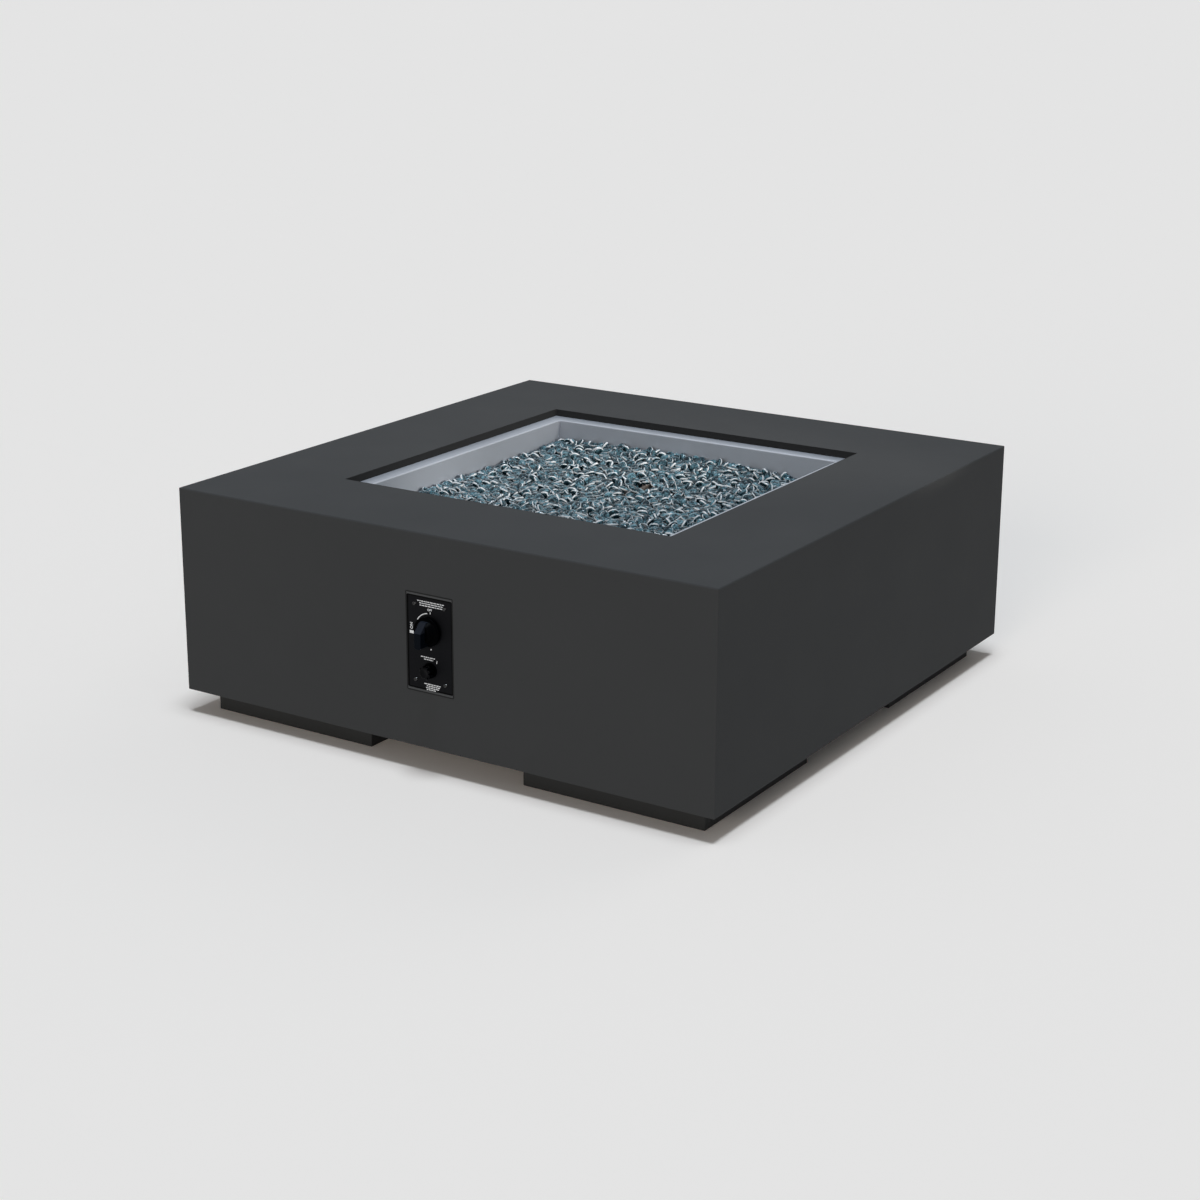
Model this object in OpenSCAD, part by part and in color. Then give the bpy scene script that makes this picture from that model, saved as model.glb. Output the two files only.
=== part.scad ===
// Gas fire pit table: cast square surround on four pads, drop-in burner pan and a front control panel
// Origin at the floor, in the middle of the square. Z is up and the control panel faces minus Y.

/* [Body] */
// Side of the square surround
body_w = 1067; // [960:1:1200]
// Height of the surround, pads left out
body_h = 367; // [340:1:430]
// Thickness of the cast side walls
wall_t = 25; // [22:0.5:32]
// Thickness of the cast top
top_t = 32; // [28:0.5:40]
// Rounding of the outer edges
edge_r = 2.5; // [1:0.5:5]
// Rounding of the upright inner corners
cavity_r = 12; // [6:1:20]
// Side of the square fire opening
opening_w = 661; // [640:1:690]
// Rounding of the corners of the fire opening
opening_r = 2; // [1:0.5:5]
// Height of the lip above the pan flange
lip_h = 13; // [9:0.5:16]
// Width of the ledge that carries the pan
ledge_w = 20; // [17:0.5:21.5]

/* [Pads] */
// Side of each square pad
foot_w = 340; // [300:1:380]
// Height of each pad
foot_h = 41; // [32:1:60]
// Step from the side of the surround to the side of a pad
foot_inset = 38; // [28:1:50]
// Rounding of the pad edges
foot_edge_r = 1.5; // [0.5:0.5:4]
// Shank diameter of a pad bolt
foot_bolt_d = 10; // [8:0.5:12]
// Distance from a pad's inner side to its end bolts
foot_bolt_end = 60; // [45:1:80]

/* [Base frame] */
// Plate thickness of the base frame
frame_t = 5; // [4:0.5:7]
// Width of the frame's flat legs
frame_leg = 115; // [100:1:130]
// Height of the strips that stand on the frame
frame_rise = 40; // [34:1:50]
// Cast skin that hides the frame's edge
frame_lip = 8; // [6:0.5:11]
// Free corner at each end of an upright strip
frame_corner = 45; // [30:1:70]
// Shank diameter of a frame bolt
frame_bolt_d = 8; // [6:0.5:9]
// Distance of a frame bolt from the middle of its side
frame_bolt_x = 250; // [200:1:320]

/* [Burner pan] */
// Width of the pan's flange
flange_w = 27.5; // [26:0.5:32]
// Depth of the pan from its flange to its floor
pan_h = 100; // [92:1:120]
// Sheet thickness of the pan
pan_t = 1.5; // [1:0.1:2]
// Bend radius at the mouth of the pan
mouth_r = 2.5; // [2:0.5:6]
// Bend radius round the pan floor
floor_r = 3; // [2:0.5:5]
// Gap between the flange and the lip
pan_gap = 1; // [0.5:0.1:2]
// Diameter of a drain hole
drain_d = 8; // [5:0.5:10]

/* [Fire glass] */
// Drop from the flange to the glass in the middle
glass_drop = 40; // [36:0.5:44]
// Rise of the glass towards the front and the back
glass_rise = 7; // [3:0.5:9]
// Fall of the glass towards the left and the right
glass_fall = 12; // [6:0.5:14]
// Extra fall from the left side to the middle and on to the right
glass_tilt = 5; // [0:0.5:6]
// Height of the single beads in the surface
bead_relief = 4; // [1:0.2:5]
// Gap between the glass and what it lies against
glass_gap = 0.4; // [0.3:0.1:0.8]

/* [Burner] */
// Radius of the burner ring
ring_r = 150; // [135:1:180]
// Outer diameter of the ring tube
ring_d = 19; // [16:0.5:21]
// Outer diameter of the cross tubes
arm_d = 16; // [13:0.5:17]
// Wall of the burner tubes
tube_wall = 1.5; // [1:0.1:2]
// Height of the ring tube above the pan floor
ring_up = 15; // [13:0.5:20]
// Diameter of the hub
hub_d = 32; // [28:0.5:38]
// Diameter of the threaded nipple below the hub
nipple_d = 21; // [18:0.5:24]
// Length of the nipple below the pan
nipple_len = 28; // [26:0.5:34]
// Diameter of a flame port
port_d = 2.4; // [1.5:0.1:3]
// Height of the locknut below the pan
locknut_h = 8; // [6:0.5:9]
// Outer diameter of the air mixer
mixer_d = 28; // [26:0.5:32]
// Length of the air mixer
mixer_len = 80; // [70:1:90]
// Diameter of an air inlet in the mixer
air_hole_d = 9; // [6:0.5:11]

/* [Ignition] */
// Distance of the hood plate from the middle
hood_x = 38; // [34:0.5:44]
// Distance from the middle to the near end of the hood
hood_y = 24; // [22:0.5:30]
// Length of the hood
hood_len = 77; // [70:0.5:84]
// Depth of the hood from its plate to its open side
hood_d = 26; // [22:0.5:27]
// Height of the hood plate above the pan floor
hood_h = 66; // [63:0.5:68]
// Sheet thickness of the hood
hood_t = 1.2; // [0.8:0.1:2]
// Diameter of the ceramic insulator
insulator_d = 7; // [6:0.5:8]
// Diameter of the thermocouple sheath
probe_d = 5; // [4:0.5:6]

/* [Heat shield] */
// Side of the square heat shield
shield_w = 460; // [420:1:520]
// Sheet thickness of the heat shield
shield_t = 1.2; // [0.8:0.1:2]
// Height of the folded edge of the heat shield
shield_lip = 12; // [8:0.5:16]
// Length of a spacer between the pan and the heat shield
spacer_len = 20; // [16:0.5:26]
// Distance of a spacer from the middle, along X and along Y
spacer_x = 190; // [170:1:200]

/* [Control panel] */
// Width of the cut-out in the front wall
cut_w = 95; // [93:0.5:100]
// Height of the cut-out in the front wall
cut_h = 170; // [166:0.5:175]
// Depth of the panel's middle below the middle of the surround
panel_down = 2; // [0:0.5:3]
// Width of the black plate
plate_w = 90; // [88:0.5:90.5]
// Height of the black plate
plate_h = 159; // [156:0.5:161]
// Thickness of the black plate
plate_t = 2; // [1.5:0.1:2.5]
// Rounding of the plate's corners
plate_r = 2.5; // [1:0.5:5]
// Depth of the plate below the front face
plate_recess = 1; // [0:0.1:1.5]
// Distance of a plate screw from the middle line
screw_x = 30; // [28:0.5:32]
// Distance of a plate screw above or below the panel's middle
screw_z = 65; // [63:0.5:68]
// Sheet thickness of the control box
box_t = 1.5; // [1:0.1:2]
// Depth of the control box behind the plate
box_depth = 92; // [88:1:110]
// Width of the box's mounting flange
box_flange = 22; // [19:0.5:28]

/* [Gas valve] */
// Height of the knob's axis above the panel's middle
valve_rise = 23.3; // [21:0.1:25]
// Length of the valve body behind the plate
valve_len = 38; // [36:0.5:42]
// Width of the valve body
valve_w = 62; // [58:0.5:70]
// Diameter of the threaded nose
nose_d = 18; // [17:0.5:20]
// Length of the nose in front of the plate
nose_out = 8; // [7.5:0.5:9]
// Height of the nose's nut
nose_nut_h = 5; // [4:0.5:6]
// Diameter of the turning plug
plug_d = 20; // [18:0.5:22]
// Diameter of the stem
stem_d = 8; // [7:0.5:9]
// Travel of the knob when it is pushed in
push_travel = 3.5; // [2:0.5:4]
// Diameter of the knob's skirt
skirt_d = 50; // [46:0.5:52]
// Thickness of the knob's skirt
skirt_t = 6.5; // [5:0.5:8]
// Width of the knob's grip
grip_w = 13; // [11:0.5:15]
// Reach of the grip above the axis
grip_top = 19; // [17:0.5:21]
// Reach of the grip below the axis
grip_low = 23; // [21:0.5:24]
// Reach of the knob in front of the body's face
knob_out = 33; // [31:0.5:36]
// Height along the grip of the slanted facet at its upper end
facet_long = 15.7; // [12:0.1:17]
// Depth of that facet
facet_deep = 12.5; // [9:0.1:14]

/* [Igniter] */
// Depth of the igniter's axis below the panel's middle
igniter_drop = 44.5; // [42:0.5:46]
// Diameter of the igniter's barrel
barrel_d = 21; // [20:0.5:22]
// Diameter of the igniter's front flange
collar_d = 26; // [24:0.5:28]
// Thickness of the igniter's front flange
collar_t = 2; // [1.5:0.1:2.5]
// Diameter of the lobed cap
cap_d = 23; // [22:0.5:24]
// Length of the lobed cap
cap_len = 12.4; // [10:0.1:14]
// Number of lobes on the cap
cap_lobes = 8; // [6:1:10]
// Travel of the cap when it is pressed
press_travel = 3; // [2:0.5:3.5]
// Diameter of the battery
battery_d = 14.2; // [13.5:0.1:14.4]
// Length of the battery without its nub
battery_len = 49; // [44:0.5:50]

/* [Gas line] */
// Outer diameter of the gas hoses
hose_d = 12; // [10:0.5:13]
// Outer diameter of the ignition lead
wire_d = 4; // [3:0.5:5]
// Outer diameter of the thermocouple lead
lead_d = 3; // [2:0.5:3.5]
// Distance of the inlet from the middle line, to the left
inlet_x = 62; // [60:1:75]
// Height of the inlet's bracket above the base frame
inlet_up = 64; // [50:1:70]
// Distance of the inlet behind the upright of its bracket
inlet_back = 30; // [26:0.5:34]
// Outer diameter of the bulkhead thread that holds the inlet
bulk_d = 18; // [17:0.5:20]
// Outer diameter of the male flare thread at the inlet
flare_d = 15.88; // [14:0.01:16.5]
// Length of that thread
flare_len = 16; // [12:0.5:20]

/* [Hidden] */
$fn = 48;

// Reach of a cutting tool past the surface that it cuts
over = 1;
// Radial clearance of a screw in its thread, or of a cast-in insert in its pocket
thread_gap = 0.05;
// Radial clearance of a screw in a plain hole
hole_gap = 0.5;
// Radial clearance of a turning or sliding fit
run_gap = 0.05;
// End clearance of a turning or sliding piece
end_gap = 0.1;
// Gap between neighbours that only touch loosely
seat_gap = 0.3;
// Growth of a small nut past its thread, across the flats
nut_grow = 6;
// Growth of a pipe nut past its thread, across the flats
pipe_nut_grow = 8;
// Height of a nut that clamps a fitting in a panel
panel_nut_h = 6;

total_h = foot_h + body_h;
front_y = -body_w / 2;
cavity_w = body_w - 2 * wall_t;
flange_z = total_h - lip_h;
ledge_z = flange_z - pan_t;
pan_in = opening_w / 2 - pan_gap - flange_w;
pan_floor_z = flange_z - pan_h;
pan_under_z = pan_floor_z - pan_t;
drain_share = 0.8;

foot_out = body_w / 2 - foot_inset;
foot_mid = foot_out - foot_w / 2;
frame_top_z = foot_h + frame_t;
frame_gap = 0.5;
frame_out = body_w / 2 - frame_lip - frame_gap;
frame_in = frame_out - frame_leg;
strip_out = cavity_w / 2 - frame_gap;
strip_mid_z = frame_top_z + frame_rise / 2;
bolt_row = (frame_in + foot_out) / 2;
bolt_far = foot_out - foot_w + foot_bolt_end;
foot_head_h = foot_bolt_d;
foot_head_d = 1.6 * foot_bolt_d;
foot_sink_room = 4;
foot_sink = foot_head_h + foot_sink_room;
foot_nut_h = 0.8 * foot_bolt_d;
foot_nut_d = 1.9 * foot_bolt_d;

insert_wall = 3;
insert_d = frame_bolt_d + 2 * insert_wall;
insert_len = 16;
box_insert_len = 12;
box_screw_d = 5;
box_insert_wall = 2;
box_insert_d = box_screw_d + 2 * box_insert_wall;

hub_cap = 3;
hub_h = ring_up + arm_d / 2 + hub_cap;
leg_d = 8;
mixer_space = 2;
mixer_top_z = pan_under_z - locknut_h - mixer_space;
mixer_low_z = mixer_top_z - mixer_len;
mixer_wall = 6;
mixer_bore_d = mixer_d - 2 * mixer_wall;
orifice_bore_d = 12;
orifice_hex_h = 12;
spigot_len = 14;
spigot_low_z = mixer_low_z - orifice_hex_h - spigot_len;

electrode_x = hood_x - hood_d / 2 - hood_t / 2;
electrode_y = hood_y + hood_len / 3;
probe_y = hood_y + 2 * hood_len / 3;
probe_collar_d = 12;
probe_collar_t = 1.5;
probe_sleeve = 1;
probe_thread_d = probe_d + 2 * probe_sleeve;
probe_nut_h = 4;
insulator_low = 18;
probe_low = 14;
hood_step = 8;
hood_tab = 16;
hood_screw_d = 4;

shield_top_z = pan_under_z - spacer_len;
spacer_d = 11;
shield_screw_d = 5;
slot_room = 22;
slot_low = -mixer_d / 2 - slot_room;
slot_w = electrode_x + slot_room - slot_low;
slot_h = probe_y + slot_room - slot_low;

plate_y = front_y + plate_recess;
panel_z = foot_h + body_h / 2 - panel_down;
bezel_gap = 0.3;
box_w = cut_w - 2 * bezel_gap;
box_h = cut_h - 2 * bezel_gap;
wall_in_o = plate_recess - wall_t;
screw_d = 4;

valve_low = 18;
valve_high = 28;
cover_d = 30;
cover_t = 6;
plug_front = 8;
plug_room = valve_len - plug_front;
stem_cut = 1;
stem_flat = stem_d / 2 - stem_cut;
nose_side = 2.5;
stem_collar_d = nose_d - 2 * nose_side;
stem_collar_t = 3;
nose_bore_d = stem_collar_d + 2 * run_gap;
nose_wall = 2;
magnet_d = 14;
magnet_len = 26;
port_x = 20;
port_z = 14;
knob_gap = 0.6;
skirt_back = push_travel + knob_gap;
knob_tip = knob_out + plate_recess;
knob_hollow_d = 32;
knob_hollow = nose_out + push_travel + knob_gap - skirt_back;
knob_crown = 6;
stem_tip = knob_tip - knob_crown;
stem_room = 1;
stem_end = plate_t + valve_len - push_travel - stem_room;

bore_room = 0.9;
bore_d = battery_d + 2 * bore_room;
plunger_d = bore_d - 2 * run_gap;
cap_gap = 0.4;
cap_back = collar_t + press_travel + cap_gap;
plunger_in = 3;
battery_front = 13;
module_len = 20;
module_w = 34;
terminal_len = 6;
terminal_d = 6;
barrel_wall = 3;
barrel_end = battery_front + battery_len + barrel_wall;
igniter_end = barrel_end + module_len + terminal_len;

hose_r = hose_d / 2;
hose_nut_d = hose_d + pipe_nut_grow;
hose_nut_over = 8;
shelf_z = frame_top_z + inlet_up;
tab_w = 46;
tab_t = 4;
tab_y = -frame_in;
inlet_flange = 5;

// Where each line starts and ends, and the way that it leaves there
port_y = plate_y + plate_t + valve_len + spigot_len;
valve_z = panel_z + valve_rise;
igniter_z = panel_z - igniter_drop;
outlet_end = [port_x, port_y, valve_z + port_z];
intake_end = [-port_x, port_y, valve_z + port_z];
mixer_end = [0, 0, spigot_low_z];
inlet_end = [-inlet_x, tab_y + inlet_back, shelf_z + tab_t + inlet_flange + spigot_len];
magnet_end = [0, plate_y + plate_t + valve_len + magnet_len, valve_z];
probe_end = [electrode_x, probe_y, pan_under_z - probe_low];
spark_start = [0, plate_y + igniter_end, igniter_z];
spark_end = [electrode_x, electrode_y, pan_under_z - insulator_low];

// Route points in between, chosen by hand, as steps from the end that they lie near
function steps_from(p, steps) = [for (s = steps) p + s];
outlet_route = concat([outlet_end, outlet_end + [0, hose_d, 0]],
    steps_from(outlet_end, [[0, 48, -2], [-2, 108, -24]]),
    steps_from(mixer_end, [[12, -290, 8], [6, -210, -40], [2, -130, -74], [0, -70, -86],
        [0, -22, -70], [0, -2, -38]]),
    [mixer_end - [0, 0, hose_d], mixer_end]);
intake_route = concat([inlet_end, inlet_end + [0, 0, hose_d]],
    steps_from(inlet_end, [[0, 2, 34]]),
    steps_from(intake_end, [[-40, 102, -62], [-33, 97, -30], [-20, 78, -6], [-7, 44, 3]]),
    [intake_end + [0, hose_d, 0], intake_end]);
lead_route = concat([magnet_end, magnet_end + [0, 2 * lead_d, 0]],
    steps_from(magnet_end, [[0, 46, 0], [2, 106, 4], [20, 156, 4]]),
    steps_from(probe_end, [[22, -325, -36], [32, -225, -44], [30, -125, -44], [20, -45, -34]]),
    [probe_end - [0, 0, 3 * lead_d], probe_end]);
spark_route = concat([spark_start, spark_start + [0, 2 * wire_d, 0]],
    steps_from(spark_start, [[-8, 42, 4], [-24, 112, 28]]),
    steps_from(spark_end, [[-54, -290, -44], [-42, -200, -30], [-10, -120, -24], [12, -60, -24]]),
    [spark_end - [0, 0, 2 * wire_d], spark_end]);

// Curves and swept tubes
function turn(v) = v / norm(v);
function blend_at(a, b, c, d, t) = (2 * b + (c - a) * t + (2 * a - 5 * b + 4 * c - d) * t * t
    + (3 * b - a - 3 * c + d) * t * t * t) / 2;
function pick(p, i) = p[max(0, min(len(p) - 1, i))];
function smooth_path(p, steps) = let (n = len(p)) concat([p[0]],
    [for (i = [1:n - 3], k = [0:steps - 1]) blend_at(p[i - 1], p[i], p[i + 1], p[i + 2], k / steps)],
    [p[n - 2], p[n - 1]]);
function heading(p, i) = turn(pick(p, i + 1) - pick(p, i - 1));
function carried(p, i, side) = i == 0 ? [turn(side - (side * heading(p, 0)) * heading(p, 0))]
    : let (before = carried(p, i - 1, side), last = before[i - 1], now = heading(p, i))
        concat(before, [turn(last - (last * now) * now)]);

module swept(path, r, sides) {
    side = abs(heading(path, 0)[0]) > 0.9 ? [0, 1, 0] : [1, 0, 0];
    normals = carried(path, len(path) - 1, side);
    last = len(path) - 1;
    rings = [for (i = [0:last], k = [0:sides - 1])
        let (n = normals[i], b = cross(heading(path, i), n), a = 360 * k / sides)
            path[i] + r * (cos(a) * n + sin(a) * b)];
    skin = [for (i = [0:last - 1], k = [0:sides - 1])
        let (p = i * sides + k, q = i * sides + (k + 1) % sides)
            each [[p, p + sides, q], [q, p + sides, q + sides]]];
    near_end = [for (k = [1:sides - 2]) [0, k, k + 1]];
    far_end = [for (k = [1:sides - 2]) [last * sides, last * sides + k + 1, last * sides + k]];
    polyhedron(rings, concat(skin, near_end, far_end));
}

function coil_path(r, length, turns, wire) = [for (i = [0:turns * 8])
    [r * cos(45 * i), r * sin(45 * i), wire / 2 + (length - wire) * i / (turns * 8)]];

// Flat shapes and plain solids
module rounded_square(w, h, r) {
    square([w - 2 * r, h], center = true);
    square([w, h - 2 * r], center = true);
    for (x = [-1, 1], y = [-1, 1]) translate([x * (w / 2 - r), y * (h / 2 - r)]) circle(r);
}

module rounded_block(w, h, r) {
    intersection() {
        linear_extrude(h) rounded_square(w, w, r);
        translate([0, w / 2, h / 2]) rotate([90, 0, 0]) linear_extrude(w) rounded_square(w, h, r);
        translate([-w / 2, 0, h / 2]) rotate([90, 0, 90]) linear_extrude(w) rounded_square(w, h, r);
    }
}

module hex_bar(across, h) {
    cylinder(h = h, d = across / cos(30), $fn = 6);
}

// A ring with a plain bore
module ring(outer_d, inner_d, h) {
    difference() {
        cylinder(h = h, d = outer_d);
        translate([0, 0, -over]) cylinder(h = h + 2 * over, d = inner_d);
    }
}

// A point on the panel's face: local Z leaves the body and local Y is up
module on_panel(rise) {
    translate([0, plate_y, panel_z + rise]) rotate([90, 0, 0]) children();
}

// The same place, with local Z going into the body
module into_panel(rise) {
    translate([0, plate_y, panel_z + rise]) rotate([-90, 0, 0]) children();
}

module each_quarter() {
    for (a = [0:90:270]) rotate([0, 0, a]) children();
}

// Surround and its fixings
module frame_bolt_places() {
    each_quarter() for (x = [-1, 1])
        translate([x * frame_bolt_x, strip_out, strip_mid_z]) rotate([-90, 0, 0]) children();
}

module box_screw_places() {
    x = box_w / 2 + box_flange / 2;
    for (i = [-1, 1], k = [-1, 1]) translate([i * x, k * screw_z, wall_in_o]) children();
}

module surround() {
    color("#3d4042") difference() {
        translate([0, 0, foot_h]) rounded_block(body_w, body_h, edge_r);
        translate([0, 0, foot_h - over]) linear_extrude(body_h - top_t + over)
            rounded_square(cavity_w, cavity_w, cavity_r);
        translate([0, 0, foot_h - over]) linear_extrude(frame_t + over)
            square(body_w - 2 * frame_lip, center = true);
        translate([0, 0, ledge_z]) linear_extrude(lip_h + pan_t + over)
            rounded_square(opening_w, opening_w, opening_r);
        translate([0, 0, ledge_z - top_t]) linear_extrude(top_t + over)
            square(opening_w - 2 * ledge_w, center = true);
        translate([0, front_y + wall_t + over, panel_z]) rotate([90, 0, 0])
            linear_extrude(wall_t + 2 * over) rounded_square(cut_w, cut_h, plate_r);
        frame_bolt_places()
            cylinder(h = frame_gap + insert_len + thread_gap, d = insert_d + 2 * thread_gap);
        on_panel(0) box_screw_places()
            cylinder(h = box_insert_len + thread_gap, d = box_insert_d + 2 * thread_gap);
    }
}

module wall_inserts() {
    color("#b08d4c") {
        frame_bolt_places() translate([0, 0, frame_gap])
            ring(insert_d, frame_bolt_d + 2 * thread_gap, insert_len);
        on_panel(0) box_screw_places() ring(box_insert_d, box_screw_d + 2 * thread_gap, box_insert_len);
    }
}

// Pads
module foot_bolt_places() {
    for (p = [[bolt_row, bolt_row], [bolt_row, bolt_far], [bolt_far, bolt_row]]) translate(p) children();
}

module foot_block(x, y) {
    color("#2e2f2f") mirror([x < 0 ? 1 : 0, 0, 0]) mirror([0, y < 0 ? 1 : 0, 0]) difference() {
        translate([foot_mid, foot_mid, 0]) rounded_block(foot_w, foot_h, foot_edge_r);
        foot_bolt_places() {
            translate([0, 0, -over]) cylinder(h = foot_h + 2 * over, d = foot_bolt_d + 2 * hole_gap);
            translate([0, 0, -over]) cylinder(h = foot_sink + over, d = foot_head_d + 2 * hole_gap);
        }
    }
}

module foot_front_left() {
    foot_block(-1, -1);
}

module foot_front_right() {
    foot_block(1, -1);
}

module foot_rear_left() {
    foot_block(-1, 1);
}

module foot_rear_right() {
    foot_block(1, 1);
}

module each_foot() {
    for (x = [0, 1], y = [0, 1]) mirror([x, 0, 0]) mirror([0, y, 0]) foot_bolt_places() children();
}

module foot_bolts() {
    color("#8f9294") each_foot() {
        translate([0, 0, foot_sink - foot_head_h]) difference() {
            cylinder(h = foot_head_h, d = foot_head_d);
            translate([0, 0, -over]) hex_bar(foot_bolt_d * 0.8, foot_head_h / 2 + over);
        }
        translate([0, 0, foot_sink])
            cylinder(h = foot_h - foot_sink + frame_t + foot_nut_h + over, d = foot_bolt_d);
    }
}

module foot_nuts() {
    color("#9a9c9e") each_foot() translate([0, 0, frame_top_z]) difference() {
        hex_bar(foot_nut_d, foot_nut_h);
        translate([0, 0, -over]) cylinder(h = foot_nut_h + 2 * over, d = foot_bolt_d + 2 * thread_gap);
    }
}

// Base frame
module base_frame() {
    color("#6f7376") difference() {
        union() {
            translate([0, 0, foot_h]) linear_extrude(frame_t) difference() {
                square(2 * frame_out, center = true);
                square(2 * frame_in, center = true);
            }
            each_quarter() translate([-strip_out + frame_corner, strip_out - frame_t, foot_h])
                cube([2 * (strip_out - frame_corner), frame_t, frame_t + frame_rise]);
            translate([-inlet_x - tab_w / 2, tab_y - tab_t, foot_h])
                cube([tab_w, tab_t, frame_t + inlet_up + tab_t]);
            translate([-inlet_x - tab_w / 2, tab_y - tab_t, shelf_z])
                cube([tab_w, tab_t + inlet_back + tab_w / 2, tab_t]);
        }
        each_foot() translate([0, 0, foot_h - over])
            cylinder(h = frame_t + 2 * over, d = foot_bolt_d + 2 * hole_gap);
        frame_bolt_places() translate([0, 0, -frame_t - over])
            cylinder(h = frame_t + 2 * over, d = frame_bolt_d + 2 * hole_gap);
        translate([-inlet_x, tab_y + inlet_back, shelf_z - over])
            cylinder(h = tab_t + 2 * over, d = bulk_d + 2 * hole_gap);
    }
}

module frame_bolts() {
    head_h = 0.7 * frame_bolt_d;
    color("#9a9c9e") frame_bolt_places() {
        translate([0, 0, -frame_t - head_h]) hex_bar(1.6 * frame_bolt_d, head_h);
        translate([0, 0, -frame_t]) cylinder(h = frame_t + insert_len - over, d = frame_bolt_d);
    }
}

// Burner pan
module pan_profile() {
    half = opening_w / 2 - pan_gap;
    translate([pan_in + mouth_r, pan_h - pan_t]) square([half - pan_in - mouth_r, pan_t]);
    translate([pan_in + mouth_r, pan_h - mouth_r]) intersection() {
        difference() {
            circle(mouth_r);
            circle(mouth_r - pan_t);
        }
        translate([-mouth_r, 0]) square(mouth_r);
    }
    translate([pan_in, floor_r]) square([pan_t, pan_h - mouth_r - floor_r]);
    translate([pan_in - floor_r, floor_r]) intersection() {
        difference() {
            circle(floor_r + pan_t);
            circle(floor_r);
        }
        translate([0, -floor_r - pan_t]) square(floor_r + pan_t);
    }
    translate([0, -pan_t]) square([pan_in - floor_r, pan_t]);
}

module drain_places() {
    reach = drain_share * pan_in;
    for (x = [-1, 1], y = [-1, 1]) translate([x * reach, y * reach, 0]) children();
}

module spacer_places() {
    for (x = [-1, 1], y = [-1, 1]) translate([x * spacer_x, y * spacer_x, 0]) children();
}

module hood_screw_places() {
    middle = hood_y + hood_len / 2;
    for (k = [-1, 1]) translate([hood_x + hood_tab / 2, middle + k * hood_len / 4, 0]) children();
}

module burner_pan() {
    reach = opening_w / 2;
    color("#a9adb0") translate([0, 0, pan_floor_z]) difference() {
        each_quarter() intersection() {
            translate([0, reach, 0]) rotate([90, 0, 0]) linear_extrude(2 * reach) pan_profile();
            translate([0, 0, -pan_h]) linear_extrude(3 * pan_h)
                polygon([[0, 0], [reach, -reach], [reach, reach]]);
        }
        translate([0, 0, -pan_t - over]) {
            cylinder(h = pan_t + 2 * over, d = nipple_d + 2 * hole_gap);
            drain_places() cylinder(h = pan_t + 2 * over, d = drain_d);
            hood_screw_places() cylinder(h = pan_t + 2 * over, d = hood_screw_d + 2 * thread_gap);
            translate([electrode_x, electrode_y, 0])
                cylinder(h = pan_t + 2 * over, d = insulator_d + 2 * hole_gap);
            translate([electrode_x, probe_y, 0])
                cylinder(h = pan_t + 2 * over, d = probe_thread_d + 2 * hole_gap);
        }
    }
}

// Burner
module ring_tube(d) {
    translate([0, 0, ring_up]) rotate_extrude() translate([ring_r, 0]) circle(d = d);
}

module arm_tubes(d) {
    each_quarter() translate([0, 0, ring_up]) rotate([0, 90, 0]) cylinder(h = ring_r, d = d);
}

module burner_ring() {
    color("#8d9093") translate([0, 0, pan_floor_z]) difference() {
        union() {
            ring_tube(ring_d);
            arm_tubes(arm_d);
            cylinder(h = hub_h, d = hub_d);
            translate([0, 0, -pan_t - nipple_len]) cylinder(h = pan_t + nipple_len + over, d = nipple_d);
            for (a = [45:90:315]) rotate([0, 0, a]) translate([ring_r, 0, 0])
                cylinder(h = ring_up, d = leg_d);
        }
        ring_tube(ring_d - 2 * tube_wall);
        arm_tubes(arm_d - 2 * tube_wall);
        translate([0, 0, -pan_t - nipple_len - over])
            cylinder(h = pan_t + nipple_len + ring_up + over, d = nipple_d - 4 * tube_wall);
        for (a = [15:30:345]) rotate([0, 0, a]) translate([ring_r, 0, ring_up])
            cylinder(h = ring_d, d = port_d);
        each_quarter() for (r = [1, 2]) translate([hub_d + r * arm_d, 0, ring_up])
            cylinder(h = arm_d, d = port_d);
    }
}

module burner_locknut() {
    color("#9a9c9e") translate([0, 0, pan_under_z - locknut_h]) difference() {
        hex_bar(nipple_d + pipe_nut_grow, locknut_h);
        translate([0, 0, -over]) cylinder(h = locknut_h + 2 * over, d = nipple_d + 2 * thread_gap);
    }
}

module air_mixer() {
    socket = nipple_len - locknut_h;
    color("#85888a") translate([0, 0, mixer_low_z]) difference() {
        cylinder(h = mixer_len, d = mixer_d);
        translate([0, 0, mixer_len - socket]) cylinder(h = socket + over, d = nipple_d + 2 * thread_gap);
        translate([0, 0, mixer_len / 6]) cylinder(h = mixer_len, d = mixer_bore_d);
        translate([0, 0, -over]) cylinder(h = mixer_len, d = orifice_bore_d + 2 * thread_gap);
        for (a = [45, 135]) rotate([0, 0, a]) translate([-mixer_d, 0, mixer_len / 3]) rotate([0, 90, 0])
            cylinder(h = 2 * mixer_d, d = air_hole_d);
    }
}

module orifice_fitting() {
    jet_h = mixer_len / 8;
    color("#b08d4c") translate([0, 0, spigot_low_z]) difference() {
        union() {
            cylinder(h = spigot_len, d = hose_d);
            translate([0, 0, spigot_len]) hex_bar(hose_nut_d, orifice_hex_h);
            translate([0, 0, spigot_len]) cylinder(h = orifice_hex_h + jet_h, d = orifice_bore_d);
        }
        translate([0, 0, -over]) cylinder(h = spigot_len + orifice_hex_h + over, d = hose_d / 2);
        cylinder(h = spigot_len + orifice_hex_h + jet_h + over, d = hose_d / 8);
    }
}

// Fire glass: a bed whose surface has a bead at every other point of a loose grid
bed_half = pan_in - glass_gap;
bed_cells = 48;
stray_share = 0.26;
scatter_turn = [12.9898, 78.233, 37.719];
scatter_gain = 43758.5;

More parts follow.
